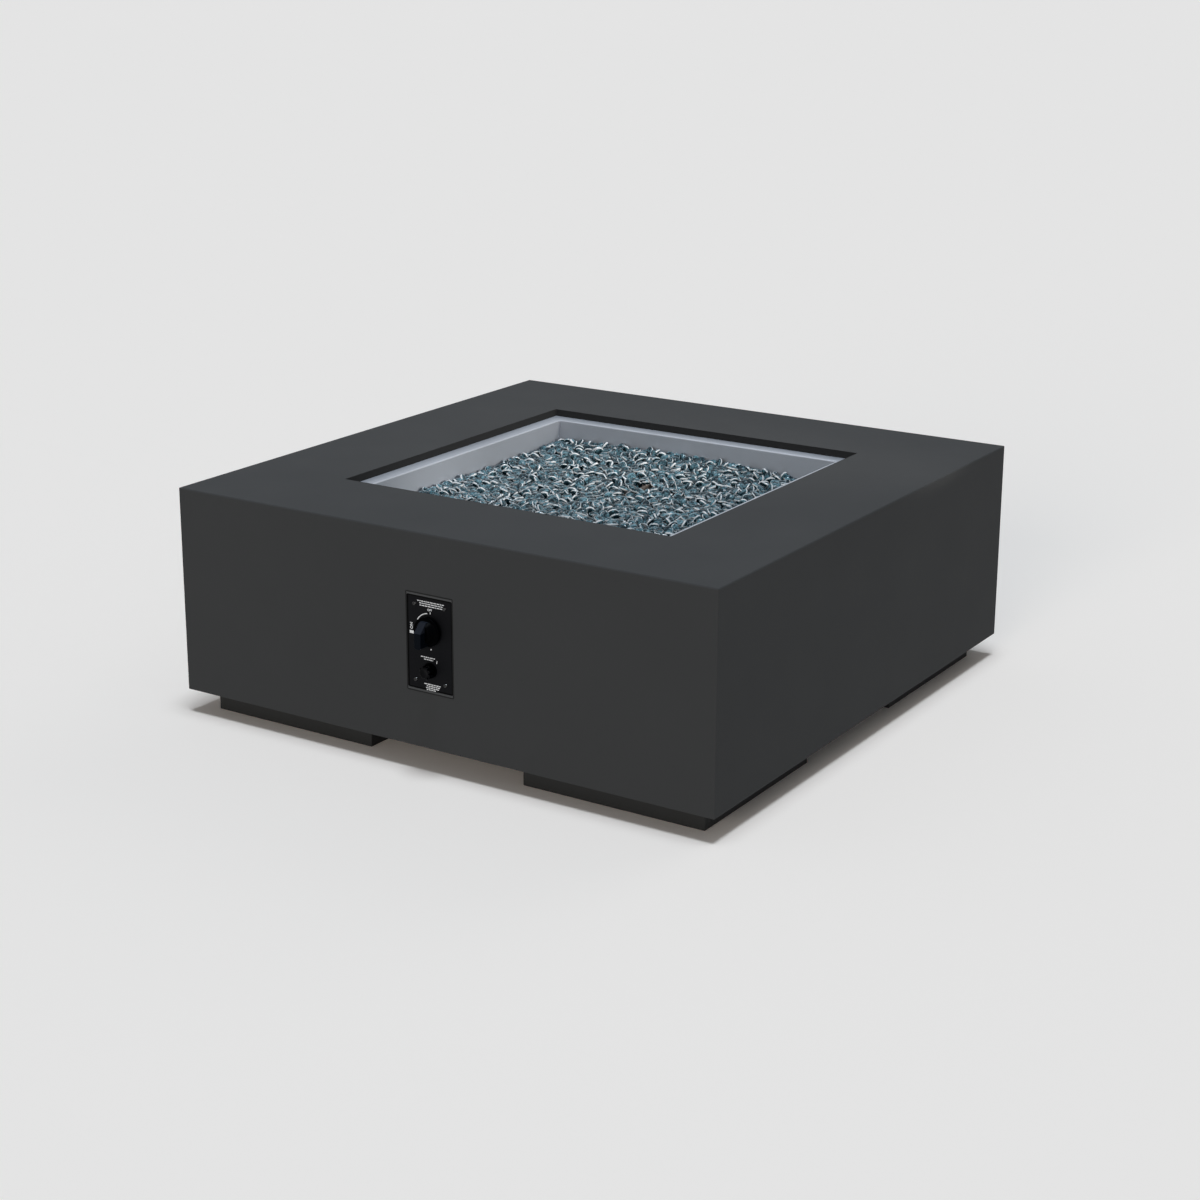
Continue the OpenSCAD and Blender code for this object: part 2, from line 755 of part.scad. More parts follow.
function scatter(i, j, k) = let (s = scatter_gain * sin([i, j, k] * scatter_turn)) s - floor(s);
function bed_at(i) = bed_half * (2 * i / bed_cells - 1);
function bed_stray(i, j, k) = (2 * scatter(i, j, k) - 1) * stray_share * 2 * bed_half / bed_cells;
function bed_x(i, j) = bed_at(i) + (i % bed_cells == 0 ? 0 : bed_stray(i, j, 1));
function bed_y(i, j) = bed_at(j) + (j % bed_cells == 0 ? 0 : bed_stray(i, j, 2));
function bed_level(i, j) = let (u = 2 * i / bed_cells - 1, v = 2 * j / bed_cells - 1)
    pan_h - glass_drop + glass_rise * v * v - glass_fall * u * u - glass_tilt * u
    + ((i + j) % 2 == 0 ? bead_relief : -bead_relief) * (1 + 2 * scatter(i, j, 3)) / 3;

module glass_bed() {
    n = bed_cells;
    m = n + 1;
    low = floor_r + glass_gap;
    top = [for (i = [0:n], j = [0:n]) [bed_x(i, j), bed_y(i, j), bed_level(i, j)]];
    edge = concat([for (i = [0:n - 1]) [i, 0]], [for (j = [0:n - 1]) [n, j]],
        [for (i = [0:n - 1]) [n - i, n]], [for (j = [0:n - 1]) [0, n - j]]);
    rim = [for (e = edge) [bed_at(e[0]), bed_at(e[1]), low]];
    foot = bed_half - floor_r;
    base = [[-foot, -foot, 0], [foot, -foot, 0], [foot, foot, 0], [-foot, foot, 0]];
    r0 = m * m;
    b0 = r0 + 4 * n;
    surface = [for (i = [0:n - 1], j = [0:n - 1]) let (p = i * m + j)
        each (i + j) % 2 == 1 ? [[p, p + 1, p + m + 1], [p, p + m + 1, p + m]]
            : [[p, p + 1, p + m], [p + 1, p + m + 1, p + m]]];
    sides = [for (k = [0:4 * n - 1]) let (a = edge[k], b = edge[(k + 1) % (4 * n)],
        p = a[0] * m + a[1], q = b[0] * m + b[1], c = r0 + k, d = r0 + (k + 1) % (4 * n))
            each [[p, d, c], [p, q, d]]];
    slopes = [for (s = [0:3], k = [0:n - 1])
        [r0 + s * n + k, r0 + (s * n + k + 1) % (4 * n), b0 + (s + (k < n / 2 ? 0 : 1)) % 4]];
    joins = [for (s = [0:3]) [r0 + s * n + n / 2, b0 + (s + 1) % 4, b0 + s]];
    floor_faces = [[b0, b0 + 1, b0 + 2], [b0, b0 + 2, b0 + 3]];
    polyhedron(concat(top, rim, base), [for (f = concat(surface, sides, slopes, joins, floor_faces)) f]);
}

module fire_glass() {
    wide = 2 * glass_gap;
    screw_room = hood_t + hood_screw_d + over + glass_gap;
    color("#5d7078") translate([0, 0, pan_floor_z]) difference() {
        glass_bed();
        ring_tube(ring_d + wide);
        arm_tubes(arm_d + wide);
        translate([0, 0, -over]) {
            cylinder(h = hub_h + over + glass_gap, d = hub_d + wide);
            for (a = [45:90:315]) rotate([0, 0, a]) translate([ring_r, 0, 0])
                cylinder(h = ring_up + over, d = leg_d + wide);
            translate([hood_x - hood_d - glass_gap, hood_y - glass_gap, 0])
                cube([hood_d + wide, hood_len + wide, pan_h]);
            translate([hood_x, hood_y + hood_len / 6 - glass_gap, 0])
                cube([hood_tab + glass_gap, 2 * hood_len / 3 + wide, screw_room]);
        }
    }
}

// Ignition at the burner
module pilot_hood() {
    low = hood_h - hood_step;
    color("#7b7068") translate([0, 0, pan_floor_z]) difference() {
        union() {
            translate([hood_x - hood_t, hood_y, 0]) cube([hood_t, hood_len, hood_h]);
            for (y = [hood_y, hood_y + hood_len - hood_t])
                translate([hood_x - hood_d, y, 0]) cube([hood_d, hood_t, low]);
            translate([hood_x - hood_t, hood_y + hood_len / 6, 0])
                cube([hood_tab + hood_t, 2 * hood_len / 3, hood_t]);
        }
        hood_screw_places() translate([0, 0, -over])
            cylinder(h = hood_t + 2 * over, d = hood_screw_d + 2 * hole_gap);
    }
}

module hood_screws() {
    head_h = hood_screw_d / 2;
    color("#9a9c9e") translate([0, 0, pan_floor_z]) hood_screw_places() {
        translate([0, 0, hood_t]) cylinder(h = head_h, d = 2 * hood_screw_d);
        translate([0, 0, -2 * hood_screw_d]) cylinder(h = 2 * hood_screw_d + hood_t, d = hood_screw_d);
    }
}

module electrode_insulator() {
    above = hood_h / 2;
    below = pan_t + insulator_low;
    color("#e6e2d8") translate([electrode_x, electrode_y, pan_floor_z]) difference() {
        union() {
            translate([0, 0, over - below]) cylinder(h = below - over + above, d = insulator_d);
            cylinder(h = probe_collar_t, d = probe_collar_d);
        }
        translate([0, 0, -below]) cylinder(h = below + above + over, d = insulator_d / 3 + 2 * run_gap);
    }
}

module electrode_rod() {
    rod_d = insulator_d / 3;
    top = 3 * hood_h / 4;
    tip = hood_d / 3;
    color("#8d9093") translate([electrode_x, electrode_y, pan_floor_z]) {
        translate([0, 0, -pan_t - insulator_low]) cylinder(h = pan_t + insulator_low + top, d = rod_d);
        translate([0, 0, top]) sphere(d = rod_d);
        translate([0, 0, top]) rotate([0, -90, 0]) cylinder(h = tip, d = rod_d);
    }
}

module thermocouple() {
    above = 2 * hood_h / 3;
    color("#9c7b5a") translate([electrode_x, probe_y, pan_floor_z]) {
        cylinder(h = above, d = probe_d);
        translate([0, 0, above]) sphere(d = probe_d);
        cylinder(h = probe_collar_t, d = probe_collar_d);
        translate([0, 0, -pan_t - probe_low]) cylinder(h = pan_t + probe_low + over, d = probe_thread_d);
    }
}

module probe_nuts() {
    color("#9a9c9e") for (p = [[electrode_y, insulator_d], [probe_y, probe_thread_d]])
        translate([electrode_x, p[0], pan_under_z - probe_nut_h]) difference() {
            hex_bar(p[1] + nut_grow, probe_nut_h);
            translate([0, 0, -over]) cylinder(h = probe_nut_h + 2 * over, d = p[1] + 2 * thread_gap);
        }
}

module thermocouple_lead() {
    color("#b87d4b") swept(smooth_path(lead_route, 3), lead_d / 2, 8);
}

module spark_wire() {
    color("#5a1f1b") swept(smooth_path(spark_route, 3), wire_d / 2, 8);
}

// Heat shield
module heat_shield() {
    half = shield_w / 2;
    color("#b7babc") translate([0, 0, shield_top_z]) difference() {
        translate([0, 0, -shield_lip]) linear_extrude(shield_lip) square(shield_w, center = true);
        translate([0, 0, -shield_lip - over]) linear_extrude(shield_lip - shield_t + over)
            square(shield_w - 2 * shield_t, center = true);
        translate([slot_low, slot_low, -shield_t - over]) cube([slot_w, slot_h, shield_t + 2 * over]);
        spacer_places() translate([0, 0, -shield_t - over])
            cylinder(h = shield_t + 2 * over, d = shield_screw_d + 2 * hole_gap);
    }
}

module shield_spacers() {
    color("#c3a25c") translate([0, 0, shield_top_z]) spacer_places() difference() {
        hex_bar(spacer_d, spacer_len);
        translate([0, 0, -over]) cylinder(h = spacer_len / 2 + over, d = shield_screw_d + 2 * thread_gap);
    }
}

module shield_screws() {
    head_h = shield_screw_d / 2;
    color("#9a9c9e") translate([0, 0, shield_top_z - shield_t]) spacer_places() {
        translate([0, 0, -head_h]) cylinder(h = head_h, d = 2 * shield_screw_d);
        cylinder(h = shield_t + spacer_len / 2 - over, d = shield_screw_d);
    }
}

// Control box and panel
module screw_places() {
    for (x = [-1, 1], y = [-1, 1]) translate([x * screw_x, y * screw_z, 0]) children();
}

module control_box() {
    inner_w = box_w - 2 * box_t;
    inner_h = box_h - 2 * box_t;
    tab = plate_w / 2 - screw_x;
    color("#26282a") on_panel(0) difference() {
        union() {
            translate([0, 0, -box_depth]) linear_extrude(box_depth - plate_t)
                rounded_square(box_w, box_h, plate_r);
            translate([0, 0, wall_in_o - box_t]) linear_extrude(box_t)
                rounded_square(box_w + 2 * box_flange, box_h + 2 * box_flange, 2 * plate_r);
        }
        translate([0, 0, -box_depth - over]) linear_extrude(box_depth - plate_t - box_t + over)
            square([inner_w, inner_h], center = true);
        translate([0, 0, -plate_t - box_t - over]) linear_extrude(box_t + 2 * over) {
            square([box_w - tab, 2 * screw_z - tab], center = true);
            square([2 * screw_x - tab, box_h - tab], center = true);
        }
        screw_places() translate([0, 0, -plate_t - box_t - over])
            cylinder(h = box_t + 2 * over, d = screw_d + 2 * thread_gap);
        box_screw_places() translate([0, 0, -box_t - over])
            cylinder(h = box_t + 2 * over, d = box_screw_d + 2 * hole_gap);
    }
}

module box_screws() {
    head_h = box_screw_d / 2;
    color("#9a9c9e") on_panel(0) box_screw_places() {
        translate([0, 0, -box_t - head_h]) cylinder(h = head_h, d = 2 * box_screw_d);
        translate([0, 0, -box_t]) cylinder(h = box_t + box_insert_len - over, d = box_screw_d);
    }
}

module control_bezel() {
    color("#35373a") on_panel(0) translate([0, 0, -plate_t]) linear_extrude(plate_t + plate_recess)
        difference() {
            rounded_square(box_w, box_h, plate_r);
            rounded_square(plate_w + 2 * bezel_gap, plate_h + 2 * bezel_gap, plate_r);
        }
}

module control_plate() {
    color("#101113") on_panel(0) translate([0, 0, -plate_t]) difference() {
        linear_extrude(plate_t) rounded_square(plate_w, plate_h, plate_r);
        translate([0, valve_rise, -over]) cylinder(h = plate_t + 2 * over, d = nose_d + 2 * hole_gap);
        translate([0, -igniter_drop, -over]) cylinder(h = plate_t + 2 * over, d = barrel_d + 2 * hole_gap);
        screw_places() translate([0, 0, -over])
            cylinder(h = plate_t + 2 * over, d = screw_d + 2 * hole_gap);
    }
}

module plate_screws() {
    head_h = 0.4 * screw_d;
    slot = screw_d / 4;
    color("#1c1d1f") on_panel(0) screw_places() {
        difference() {
            cylinder(h = head_h, d1 = 1.8 * screw_d, d2 = 1.4 * screw_d);
            for (a = [0, 90]) rotate([0, 0, a + 20]) translate([-screw_d / 2, -slot / 2, head_h / 2])
                cube([screw_d, slot, head_h]);
        }
        translate([0, 0, -plate_t - 2 * box_t]) cylinder(h = plate_t + 2 * box_t, d = screw_d);
    }
}

// Gas valve. Depths run into the body from the plate's front face
module d_bar(d, flat, h) {
    intersection() {
        cylinder(h = h, d = d);
        translate([-d, -d, -over]) cube([2 * d, d + flat, h + 2 * over]);
    }
}

module valve_body() {
    color("#b9a36c") into_panel(valve_rise) difference() {
        union() {
            translate([0, 0, -nose_out]) cylinder(h = nose_out + plate_t + over, d = nose_d);
            translate([-valve_w / 2, -valve_high, plate_t])
                cube([valve_w, valve_high + valve_low, valve_len]);
            for (x = [-1, 1]) translate([x * port_x, -port_z, plate_t])
                cylinder(h = valve_len + spigot_len, d = hose_d);
        }
        translate([0, 0, -nose_out - over]) cylinder(h = nose_out, d = stem_d + 2 * run_gap);
        translate([0, 0, nose_wall - nose_out])
            cylinder(h = nose_out + plate_t + plug_front, d = nose_bore_d);
        translate([0, 0, plate_t + plug_front]) cylinder(h = plug_room + over, d = plug_d + 2 * run_gap);
        for (x = [-1, 1]) translate([x * port_x, -port_z, plate_t + valve_len / 2])
            cylinder(h = valve_len + spigot_len, d = hose_d / 2);
    }
}

module valve_cover() {
    color("#a8945f") into_panel(valve_rise) translate([0, 0, plate_t + valve_len])
        ring(cover_d, magnet_d + 2 * thread_gap, cover_t);
}

module magnet_unit() {
    tip = plate_t + valve_len;
    color("#c9b37a") into_panel(valve_rise) {
        translate([0, 0, tip]) cylinder(h = magnet_len, d = magnet_d);
        translate([0, 0, tip + cover_t]) hex_bar(magnet_d + nut_grow / 2, magnet_len / 3);
    }
}

module valve_nut() {
    color("#9a9c9e") into_panel(valve_rise) translate([0, 0, -nose_nut_h]) difference() {
        hex_bar(nose_d + nut_grow, nose_nut_h);
        translate([0, 0, -over]) cylinder(h = nose_nut_h + 2 * over, d = nose_d + 2 * thread_gap);
    }
}

module valve_plug() {
    front = plate_t + plug_front + end_gap;
    length = plug_room - 2 * end_gap;
    color("#cdb984") into_panel(valve_rise) translate([0, 0, front]) difference() {
        cylinder(h = length, d = plug_d);
        translate([0, 0, -over]) d_bar(stem_d + 2 * run_gap, stem_flat + run_gap, length + 2 * over);
        translate([0, 0, length / 2]) rotate([0, 90, 0]) cylinder(h = plug_d, d = hose_d / 2);
    }
}

module valve_stem() {
    color("#8d9093") into_panel(valve_rise) {
        translate([0, 0, -stem_tip]) d_bar(stem_d, stem_flat, stem_tip + stem_end);
        translate([0, 0, nose_wall - nose_out + end_gap]) cylinder(h = stem_collar_t, d = stem_collar_d);
    }
}

module stem_spring() {
    wire = stem_d / 8;
    from = nose_wall - nose_out + end_gap + stem_collar_t + end_gap;
    to = plate_t + plug_front;
    r = (stem_d / 2 + nose_bore_d / 2) / 2;
    color("#b5b8ba") into_panel(valve_rise) translate([0, 0, from])
        swept(coil_path(r, to - from, 5, wire), wire / 2, 6);
}

module control_knob() {
    boss = skirt_back + skirt_t;
    boss_h = (knob_tip - boss) / 2;
    color("#131417") on_panel(valve_rise) difference() {
        union() {
            translate([0, 0, skirt_back]) cylinder(h = skirt_t - over, d = skirt_d);
            translate([0, 0, boss - over]) cylinder(h = over, d1 = skirt_d, d2 = skirt_d - 2 * over);
            translate([0, 0, boss]) cylinder(h = boss_h, d1 = 0.78 * skirt_d, d2 = 0.6 * skirt_d);
            translate([0, 0, boss - over]) linear_extrude(knob_tip - boss + over) intersection() {
                translate([-grip_w / 2, -grip_low]) square([grip_w, grip_low + grip_top]);
                circle(grip_low);
            }
        }
        translate([-grip_w, grip_top, knob_tip - facet_deep]) rotate([-atan(facet_deep / facet_long), 0, 0])
            translate([0, -2 * facet_long, 0]) cube([2 * grip_w, 4 * facet_long, 2 * facet_deep]);
        translate([0, 0, skirt_back - over]) cylinder(h = knob_hollow + over, d = knob_hollow_d);
        translate([0, 0, skirt_back]) mirror([0, 1, 0])
            d_bar(stem_d + 2 * run_gap, stem_flat + run_gap, stem_tip - skirt_back + end_gap);
    }
}

// Igniter
module igniter_body() {
    side = module_w / 2;
    color("#1b1c1e") into_panel(-igniter_drop) difference() {
        union() {
            translate([0, 0, -collar_t]) cylinder(h = collar_t, d = collar_d);
            cylinder(h = barrel_end, d = barrel_d);
            translate([-side, -side, barrel_end - over]) cube([module_w, module_w, module_len + over]);
            translate([0, 0, barrel_end]) cylinder(h = module_len + terminal_len, d = terminal_d);
        }
        translate([0, 0, -collar_t - over]) cylinder(h = collar_t + over + battery_front, d = bore_d);
        translate([0, 0, battery_front - over])
            cylinder(h = over + battery_len + end_gap, d = battery_d + 2 * seat_gap);
    }
}

module igniter_nut() {
    color("#2b2d2f") into_panel(-igniter_drop) translate([0, 0, plate_t]) difference() {
        hex_bar(barrel_d + nut_grow, panel_nut_h);
        translate([0, 0, -over]) cylinder(h = panel_nut_h + 2 * over, d = barrel_d + 2 * thread_gap);
    }
}

module igniter_button() {
    lobe_r = cap_d / 6;
    crown = cap_d / 12;
    color("#15161a") on_panel(-igniter_drop) {
        difference() {
            union() {
                translate([0, 0, cap_back]) cylinder(h = cap_len - crown, d = cap_d);
                translate([0, 0, cap_back + cap_len - crown])
                    cylinder(h = crown, d1 = cap_d, d2 = cap_d - 2 * crown);
            }
            for (k = [0:cap_lobes - 1]) rotate([0, 0, 360 * k / cap_lobes])
                translate([cap_d / 2 + lobe_r / 2, 0, cap_back - over])
                    cylinder(h = cap_len + 2 * over, r = lobe_r);
        }
        translate([0, 0, -plunger_in]) cylinder(h = plunger_in + cap_back, d = plunger_d);
    }
}

module button_spring() {
    wire = battery_d / 16;
    from = plunger_in + end_gap;
    to = battery_front - battery_d / 10 - end_gap;
    color("#b5b8ba") into_panel(-igniter_drop) translate([0, 0, from])
        swept(coil_path(battery_d / 3, to - from, 4, wire), wire / 2, 6);
}

module battery() {
    nub = battery_d / 10;
    color("#3c6f8f") into_panel(-igniter_drop) {
        translate([0, 0, battery_front]) cylinder(h = battery_len, d = battery_d);
        translate([0, 0, battery_front - nub]) cylinder(h = nub, d = 2 * battery_d / 5);
    }
}

// Gas line
module inlet_fitting() {
    below = panel_nut_h + flare_len;
    above = tab_t + inlet_flange + spigot_len;
    color("#b08d4c") translate([-inlet_x, tab_y + inlet_back, shelf_z]) difference() {
        union() {
            translate([0, 0, tab_t]) hex_bar(bulk_d + nut_grow, inlet_flange);
            translate([0, 0, -panel_nut_h]) cylinder(h = panel_nut_h + tab_t + over, d = bulk_d);
            translate([0, 0, -below]) cylinder(h = flare_len + over, d = flare_d);
            cylinder(h = above, d = hose_d);
        }
        translate([0, 0, -below - over]) cylinder(h = below + above + 2 * over, d = hose_d / 2);
    }
}

module inlet_nut() {
    color("#c3a25c") translate([-inlet_x, tab_y + inlet_back, shelf_z - panel_nut_h]) difference() {
        hex_bar(bulk_d + nut_grow, panel_nut_h);
        translate([0, 0, -over]) cylinder(h = panel_nut_h + 2 * over, d = bulk_d + 2 * thread_gap);
    }
}

module inlet_hose() {
    color("#1d1d1f") swept(smooth_path(intake_route, 4), hose_r, 10);
}

module burner_hose() {
    color("#1d1d1f") swept(smooth_path(outlet_route, 4), hose_r, 10);
}

// A flare nut over the end of a spigot and the start of its hose
module flare_nut() {
    translate([0, 0, -hose_nut_over]) difference() {
        hex_bar(hose_nut_d, 2 * hose_nut_over);
        translate([0, 0, -over]) cylinder(h = 2 * (hose_nut_over + over), d = hose_d + 2 * seat_gap);
    }
}

module flare_nuts() {
    color("#c3a25c") {
        translate(mixer_end) flare_nut();
        translate(inlet_end) flare_nut();
        for (p = [outlet_end, intake_end]) translate(p) rotate([90, 0, 0]) flare_nut();
    }
}

surround();
foot_front_left();
foot_front_right();
foot_rear_left();
foot_rear_right();
foot_bolts();
foot_nuts();
base_frame();
frame_bolts();
wall_inserts();
burner_pan();
burner_ring();
burner_locknut();
air_mixer();
orifice_fitting();
fire_glass();
pilot_hood();
hood_screws();
electrode_insulator();
electrode_rod();
thermocouple();
probe_nuts();
thermocouple_lead();
spark_wire();
heat_shield();
shield_spacers();
shield_screws();
control_box();
box_screws();
control_bezel();
control_plate();
plate_screws();
valve_body();
valve_cover();
magnet_unit();
valve_nut();
valve_plug();
valve_stem();
stem_spring();
control_knob();
igniter_body();
igniter_nut();
igniter_button();
button_spring();
battery();
inlet_fitting();
inlet_nut();
inlet_hose();
burner_hose();
flare_nuts();
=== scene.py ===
"""Gas fire pit table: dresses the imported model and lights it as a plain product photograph."""
from __future__ import annotations

import logging
import math
import random
from dataclasses import dataclass, field
from enum import Enum
from typing import Iterable, Sequence

import bmesh
import bpy
from mathutils import Matrix, Vector, noise


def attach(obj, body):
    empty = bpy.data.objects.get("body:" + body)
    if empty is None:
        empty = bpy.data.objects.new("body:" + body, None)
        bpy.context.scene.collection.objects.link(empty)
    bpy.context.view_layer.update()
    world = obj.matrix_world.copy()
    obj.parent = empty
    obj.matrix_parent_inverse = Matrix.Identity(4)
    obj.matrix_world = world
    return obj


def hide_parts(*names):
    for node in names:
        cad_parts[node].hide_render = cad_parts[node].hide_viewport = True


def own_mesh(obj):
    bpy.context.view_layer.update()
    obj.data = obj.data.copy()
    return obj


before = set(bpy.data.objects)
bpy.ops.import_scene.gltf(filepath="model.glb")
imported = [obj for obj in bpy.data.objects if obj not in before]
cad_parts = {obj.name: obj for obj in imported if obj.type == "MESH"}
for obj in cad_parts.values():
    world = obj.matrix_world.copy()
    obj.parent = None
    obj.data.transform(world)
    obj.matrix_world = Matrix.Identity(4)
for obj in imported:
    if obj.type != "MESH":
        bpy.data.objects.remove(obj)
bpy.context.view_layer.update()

LOG = logging.getLogger("fire_pit_table")
Colour = tuple[float, float, float]
Point = tuple[float, float, float]
Span = tuple[float, float]
Profile = tuple[tuple[float, float], ...]
Shape = bmesh.types.BMesh
Socket = bpy.types.NodeSocket
MM = 0.001
WELD = 1e-6
LETTER_WELD = 1e-7
THIN_EDGE = "thin_edge"


class Body(Enum):
    """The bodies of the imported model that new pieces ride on."""

    TABLE = "table"
    KNOB = "knob"
    CAP = "igniter_cap"


class Grain(Enum):
    """The way that the brush marks of a metal run, as the stretch of its noise."""

    ALONG_X = (0.02, 1.0, 1.0)
    NONE = (1.0, 1.0, 1.0)


# Finishes


def scaled(colour: Colour, factor: float) -> Colour:
    """A colour made lighter or darker."""
    return tuple(part * factor for part in colour)


def add_node(tree: bpy.types.NodeTree, kind: str, feeds: Iterable[tuple[str | int, Socket]] = (),
             **values: object) -> bpy.types.Node:
    """A new node with its inputs set.

    Args:
        tree: The node tree that it joins.
        kind: Its type, without ShaderNode in front.
        feeds: Names or numbers of inputs, and the sockets that feed them.
        **values: Values of other inputs, with underscores for spaces.

    Returns:
        The node.
    """
    node = tree.nodes.new("ShaderNode" + kind)
    for name, source in feeds:
        tree.links.new(source, node.inputs[name])
    for name, value in values.items():
        node.inputs[name.replace("_", " ")].default_value = value
    return node


def calculate(tree: bpy.types.NodeTree, operation: str, one: Socket, other: Socket | float) -> Socket:
    """The result of a Math node.

    Args:
        tree: The node tree that it joins.
        operation: What the node does.
        one: The first value.
        other: The second value, as a socket or a number.

    Returns:
        The result's socket.
    """
    node = add_node(tree, "Math", ((0, one),))
    node.operation = operation
    if isinstance(other, float):
        node.inputs[1].default_value = other
    else:
        tree.links.new(other, node.inputs[1])
    return node.outputs["Value"]


class Shader:
    """A new material's node tree, with short calls for the nodes that the finishes use."""

    def __init__(self, name: str) -> None:
        """Makes a material with one Principled shader.

        Args:
            name: The material's name.
        """
        self.material = bpy.data.materials.new(name)
        self.material.use_nodes = True
        self.tree = self.material.node_tree
        self.tree.nodes.clear()
        out = add_node(self.tree, "OutputMaterial")
        self.skin = add_node(self.tree, "BsdfPrincipled")
        self.tree.links.new(self.skin.outputs["BSDF"], out.inputs["Surface"])
        self.place = add_node(self.tree, "TexCoord").outputs["Object"]

    def put(self, **values: float) -> None:
        """Sets the Principled shader's own sockets, named with underscores for spaces."""
        for name, value in values.items():
            self.skin.inputs[name.replace("_", " ")].default_value = value

    def reads(self, kind: str, output: str, **values: object) -> Socket:
        """An output of a new node that reads object coordinates."""
        return add_node(self.tree, kind, (("Vector", self.place),), **values).outputs[output]

    def stretched(self, stretch: Point) -> Socket:
        """Object coordinates with a scale of their own on each axis."""
        return self.reads("Mapping", "Vector", Scale=stretch)

    def cloud(self, scale: float, detail: float = 2.0, rough: float = 0.5,
              at: Socket | None = None) -> Socket:
        """A noise from 0 to 1 with so many cells to the metre, read at object coordinates or at a vector."""
        return add_node(self.tree, "TexNoise", (("Vector", at or self.place),), Scale=scale, Detail=detail,
                        Roughness=rough).outputs["Fac"]

    def cells(self, scale: float) -> Socket:
        """The distance to the middle of the nearest of so many cells to the metre."""
        return self.reads("TexVoronoi", "Distance", Scale=scale)

    def along(self, axis: str) -> Socket:
        """One object coordinate, in metres."""
        return self.reads("SeparateXYZ", axis)

    def span(self, value: Socket, low: float, high: float, to_low: float = 0.0,
             to_high: float = 1.0) -> Socket:
        """A value stretched so that low becomes to_low and high becomes to_high, and kept between them."""
        return add_node(self.tree, "MapRange", (("Value", value),), From_Min=low, From_Max=high,
                        To_Min=to_low, To_Max=to_high).outputs["Result"]

    def blend(self, value: Socket, stops: Sequence[tuple[float, Colour]]) -> Socket:
        """Colours along a value.

        Args:
            value: From 0 to 1.
            stops: Where each colour stands, and the colour, in linear light.

        Returns:
            The colour's socket.
        """
        node = add_node(self.tree, "ValToRGB", (("Fac", value),))
        ramp = node.color_ramp
        while len(ramp.elements) < len(stops):
            ramp.elements.new(0.5)
        for element, (where, colour) in zip(ramp.elements, stops):
            element.position = where
            element.color = (*colour, 1.0)
        return node.outputs["Color"]

    def tones(self, value: Socket, colour: Colour, first: float, last: float) -> Socket:
        """One colour that goes from one share of itself to another along a value."""
        return self.blend(value, ((0.0, scaled(colour, first)), (1.0, scaled(colour, last))))

    def sum(self, one: Socket, other: Socket) -> Socket:
        """Two values added."""
        return calculate(self.tree, "ADD", one, other)

    def larger(self, one: Socket, other: Socket) -> Socket:
        """The larger of two values."""
        return calculate(self.tree, "MAXIMUM", one, other)

    def away(self, axis: str, middle: float, half: float) -> Socket:
        """How far an object coordinate lies outside a span.

        Args:
            axis: X, Y or Z.
            middle: The span's middle.
            half: Half of its length.

        Returns:
            The distance beyond its nearer end, less than 0 inside.
        """
        value = self.along(axis)
        for operation, number in (("SUBTRACT", middle), ("ABSOLUTE", 0.0), ("SUBTRACT", half)):
            value = calculate(self.tree, operation, value, number)
        return value

    def relief(self, value: Socket, depth: float, strength: float, over: Socket | None = None) -> Socket:
        """The normal of a bump whose height of 1 stands for depth in metres, over a coarser one if given."""
        feeds = [("Height", value)] + ([] if over is None else [("Normal", over)])
        return add_node(self.tree, "Bump", feeds, Strength=strength, Distance=depth).outputs["Normal"]

    def wear(self, colour: Socket, rough: Socket | None = None, normal: Socket | None = None) -> None:
        """Joins the patterns that vary over the surface to the shader."""
        for source, name in ((colour, "Base Color"), (rough, "Roughness"), (normal, "Normal")):
            if source is not None:
                self.tree.links.new(source, self.skin.inputs[name])


@dataclass(frozen=True)
class Finish:
    """What all finishes share.

    Attributes:
        name: The material's name.
        colour: The main colour, in linear light.
    """

    name: str
    colour: Colour

    def make(self) -> bpy.types.Material:
        """Builds the material."""
        shader = Shader(self.name)
        self.paint(shader)
        return shader.material

    def paint(self, shader: Shader) -> None:
        """Sets the shader up. Each finish does it its own way."""
        raise NotImplementedError


@dataclass(frozen=True)
class CastFinish(Finish):
    """Fine cast concrete, painted through: faint clouds, fine sand, a few pin holes and painted shade on the
    faces inside an opening.

    Attributes:
        sheen: The strength of the plain reflection.
        rough: The mean roughness.
        mouth: Half of the width of an opening whose faces get painted shade, or 0 for none.
        lip_shade: How dark the painted shade makes these faces, as a share of the colour.
    """

    sheen: float
    rough: float
    mouth: float = 0.0
    lip_shade: float = 0.45

    def paint(self, shader: Shader) -> None:
        """Lays clouds, painted shade in the mouth, sand and pin holes.

        Args:
            shader: The new material's shader.
        """
        tone = shader.span(shader.cloud(3.2, 4.0, 0.55), 0.3, 0.7, 0.1, 1.0)
        # Painted shade: every face inside the opening is darkened towards the stain share of the colour.
        if self.mouth:
            beyond = shader.larger(shader.away("X", 0.0, self.mouth), shader.away("Y", 0.0, self.mouth))
            tone = shader.sum(tone, shader.span(beyond, 0.0006, 0.0020, -1.0, 0.0))
        colour = shader.blend(tone, (
            (0.0, scaled(self.colour, self.lip_shade)), (0.1, scaled(self.colour, 0.975)), (0.6, self.colour),
            (1.0, scaled(self.colour, 1.025))))
        rough = shader.span(shader.cloud(9.0, 3.0), 0.25, 0.75, self.rough - 0.02, self.rough + 0.03)
        sand = shader.relief(shader.cloud(900.0, 2.0, 0.6), 0.00008, 0.35)
        pits = shader.span(shader.cells(260.0), 0.04, 0.12)
        shader.wear(colour, rough, shader.relief(pits, 0.0001, 0.35, sand))
        shader.put(Specular_IOR_Level=self.sheen)


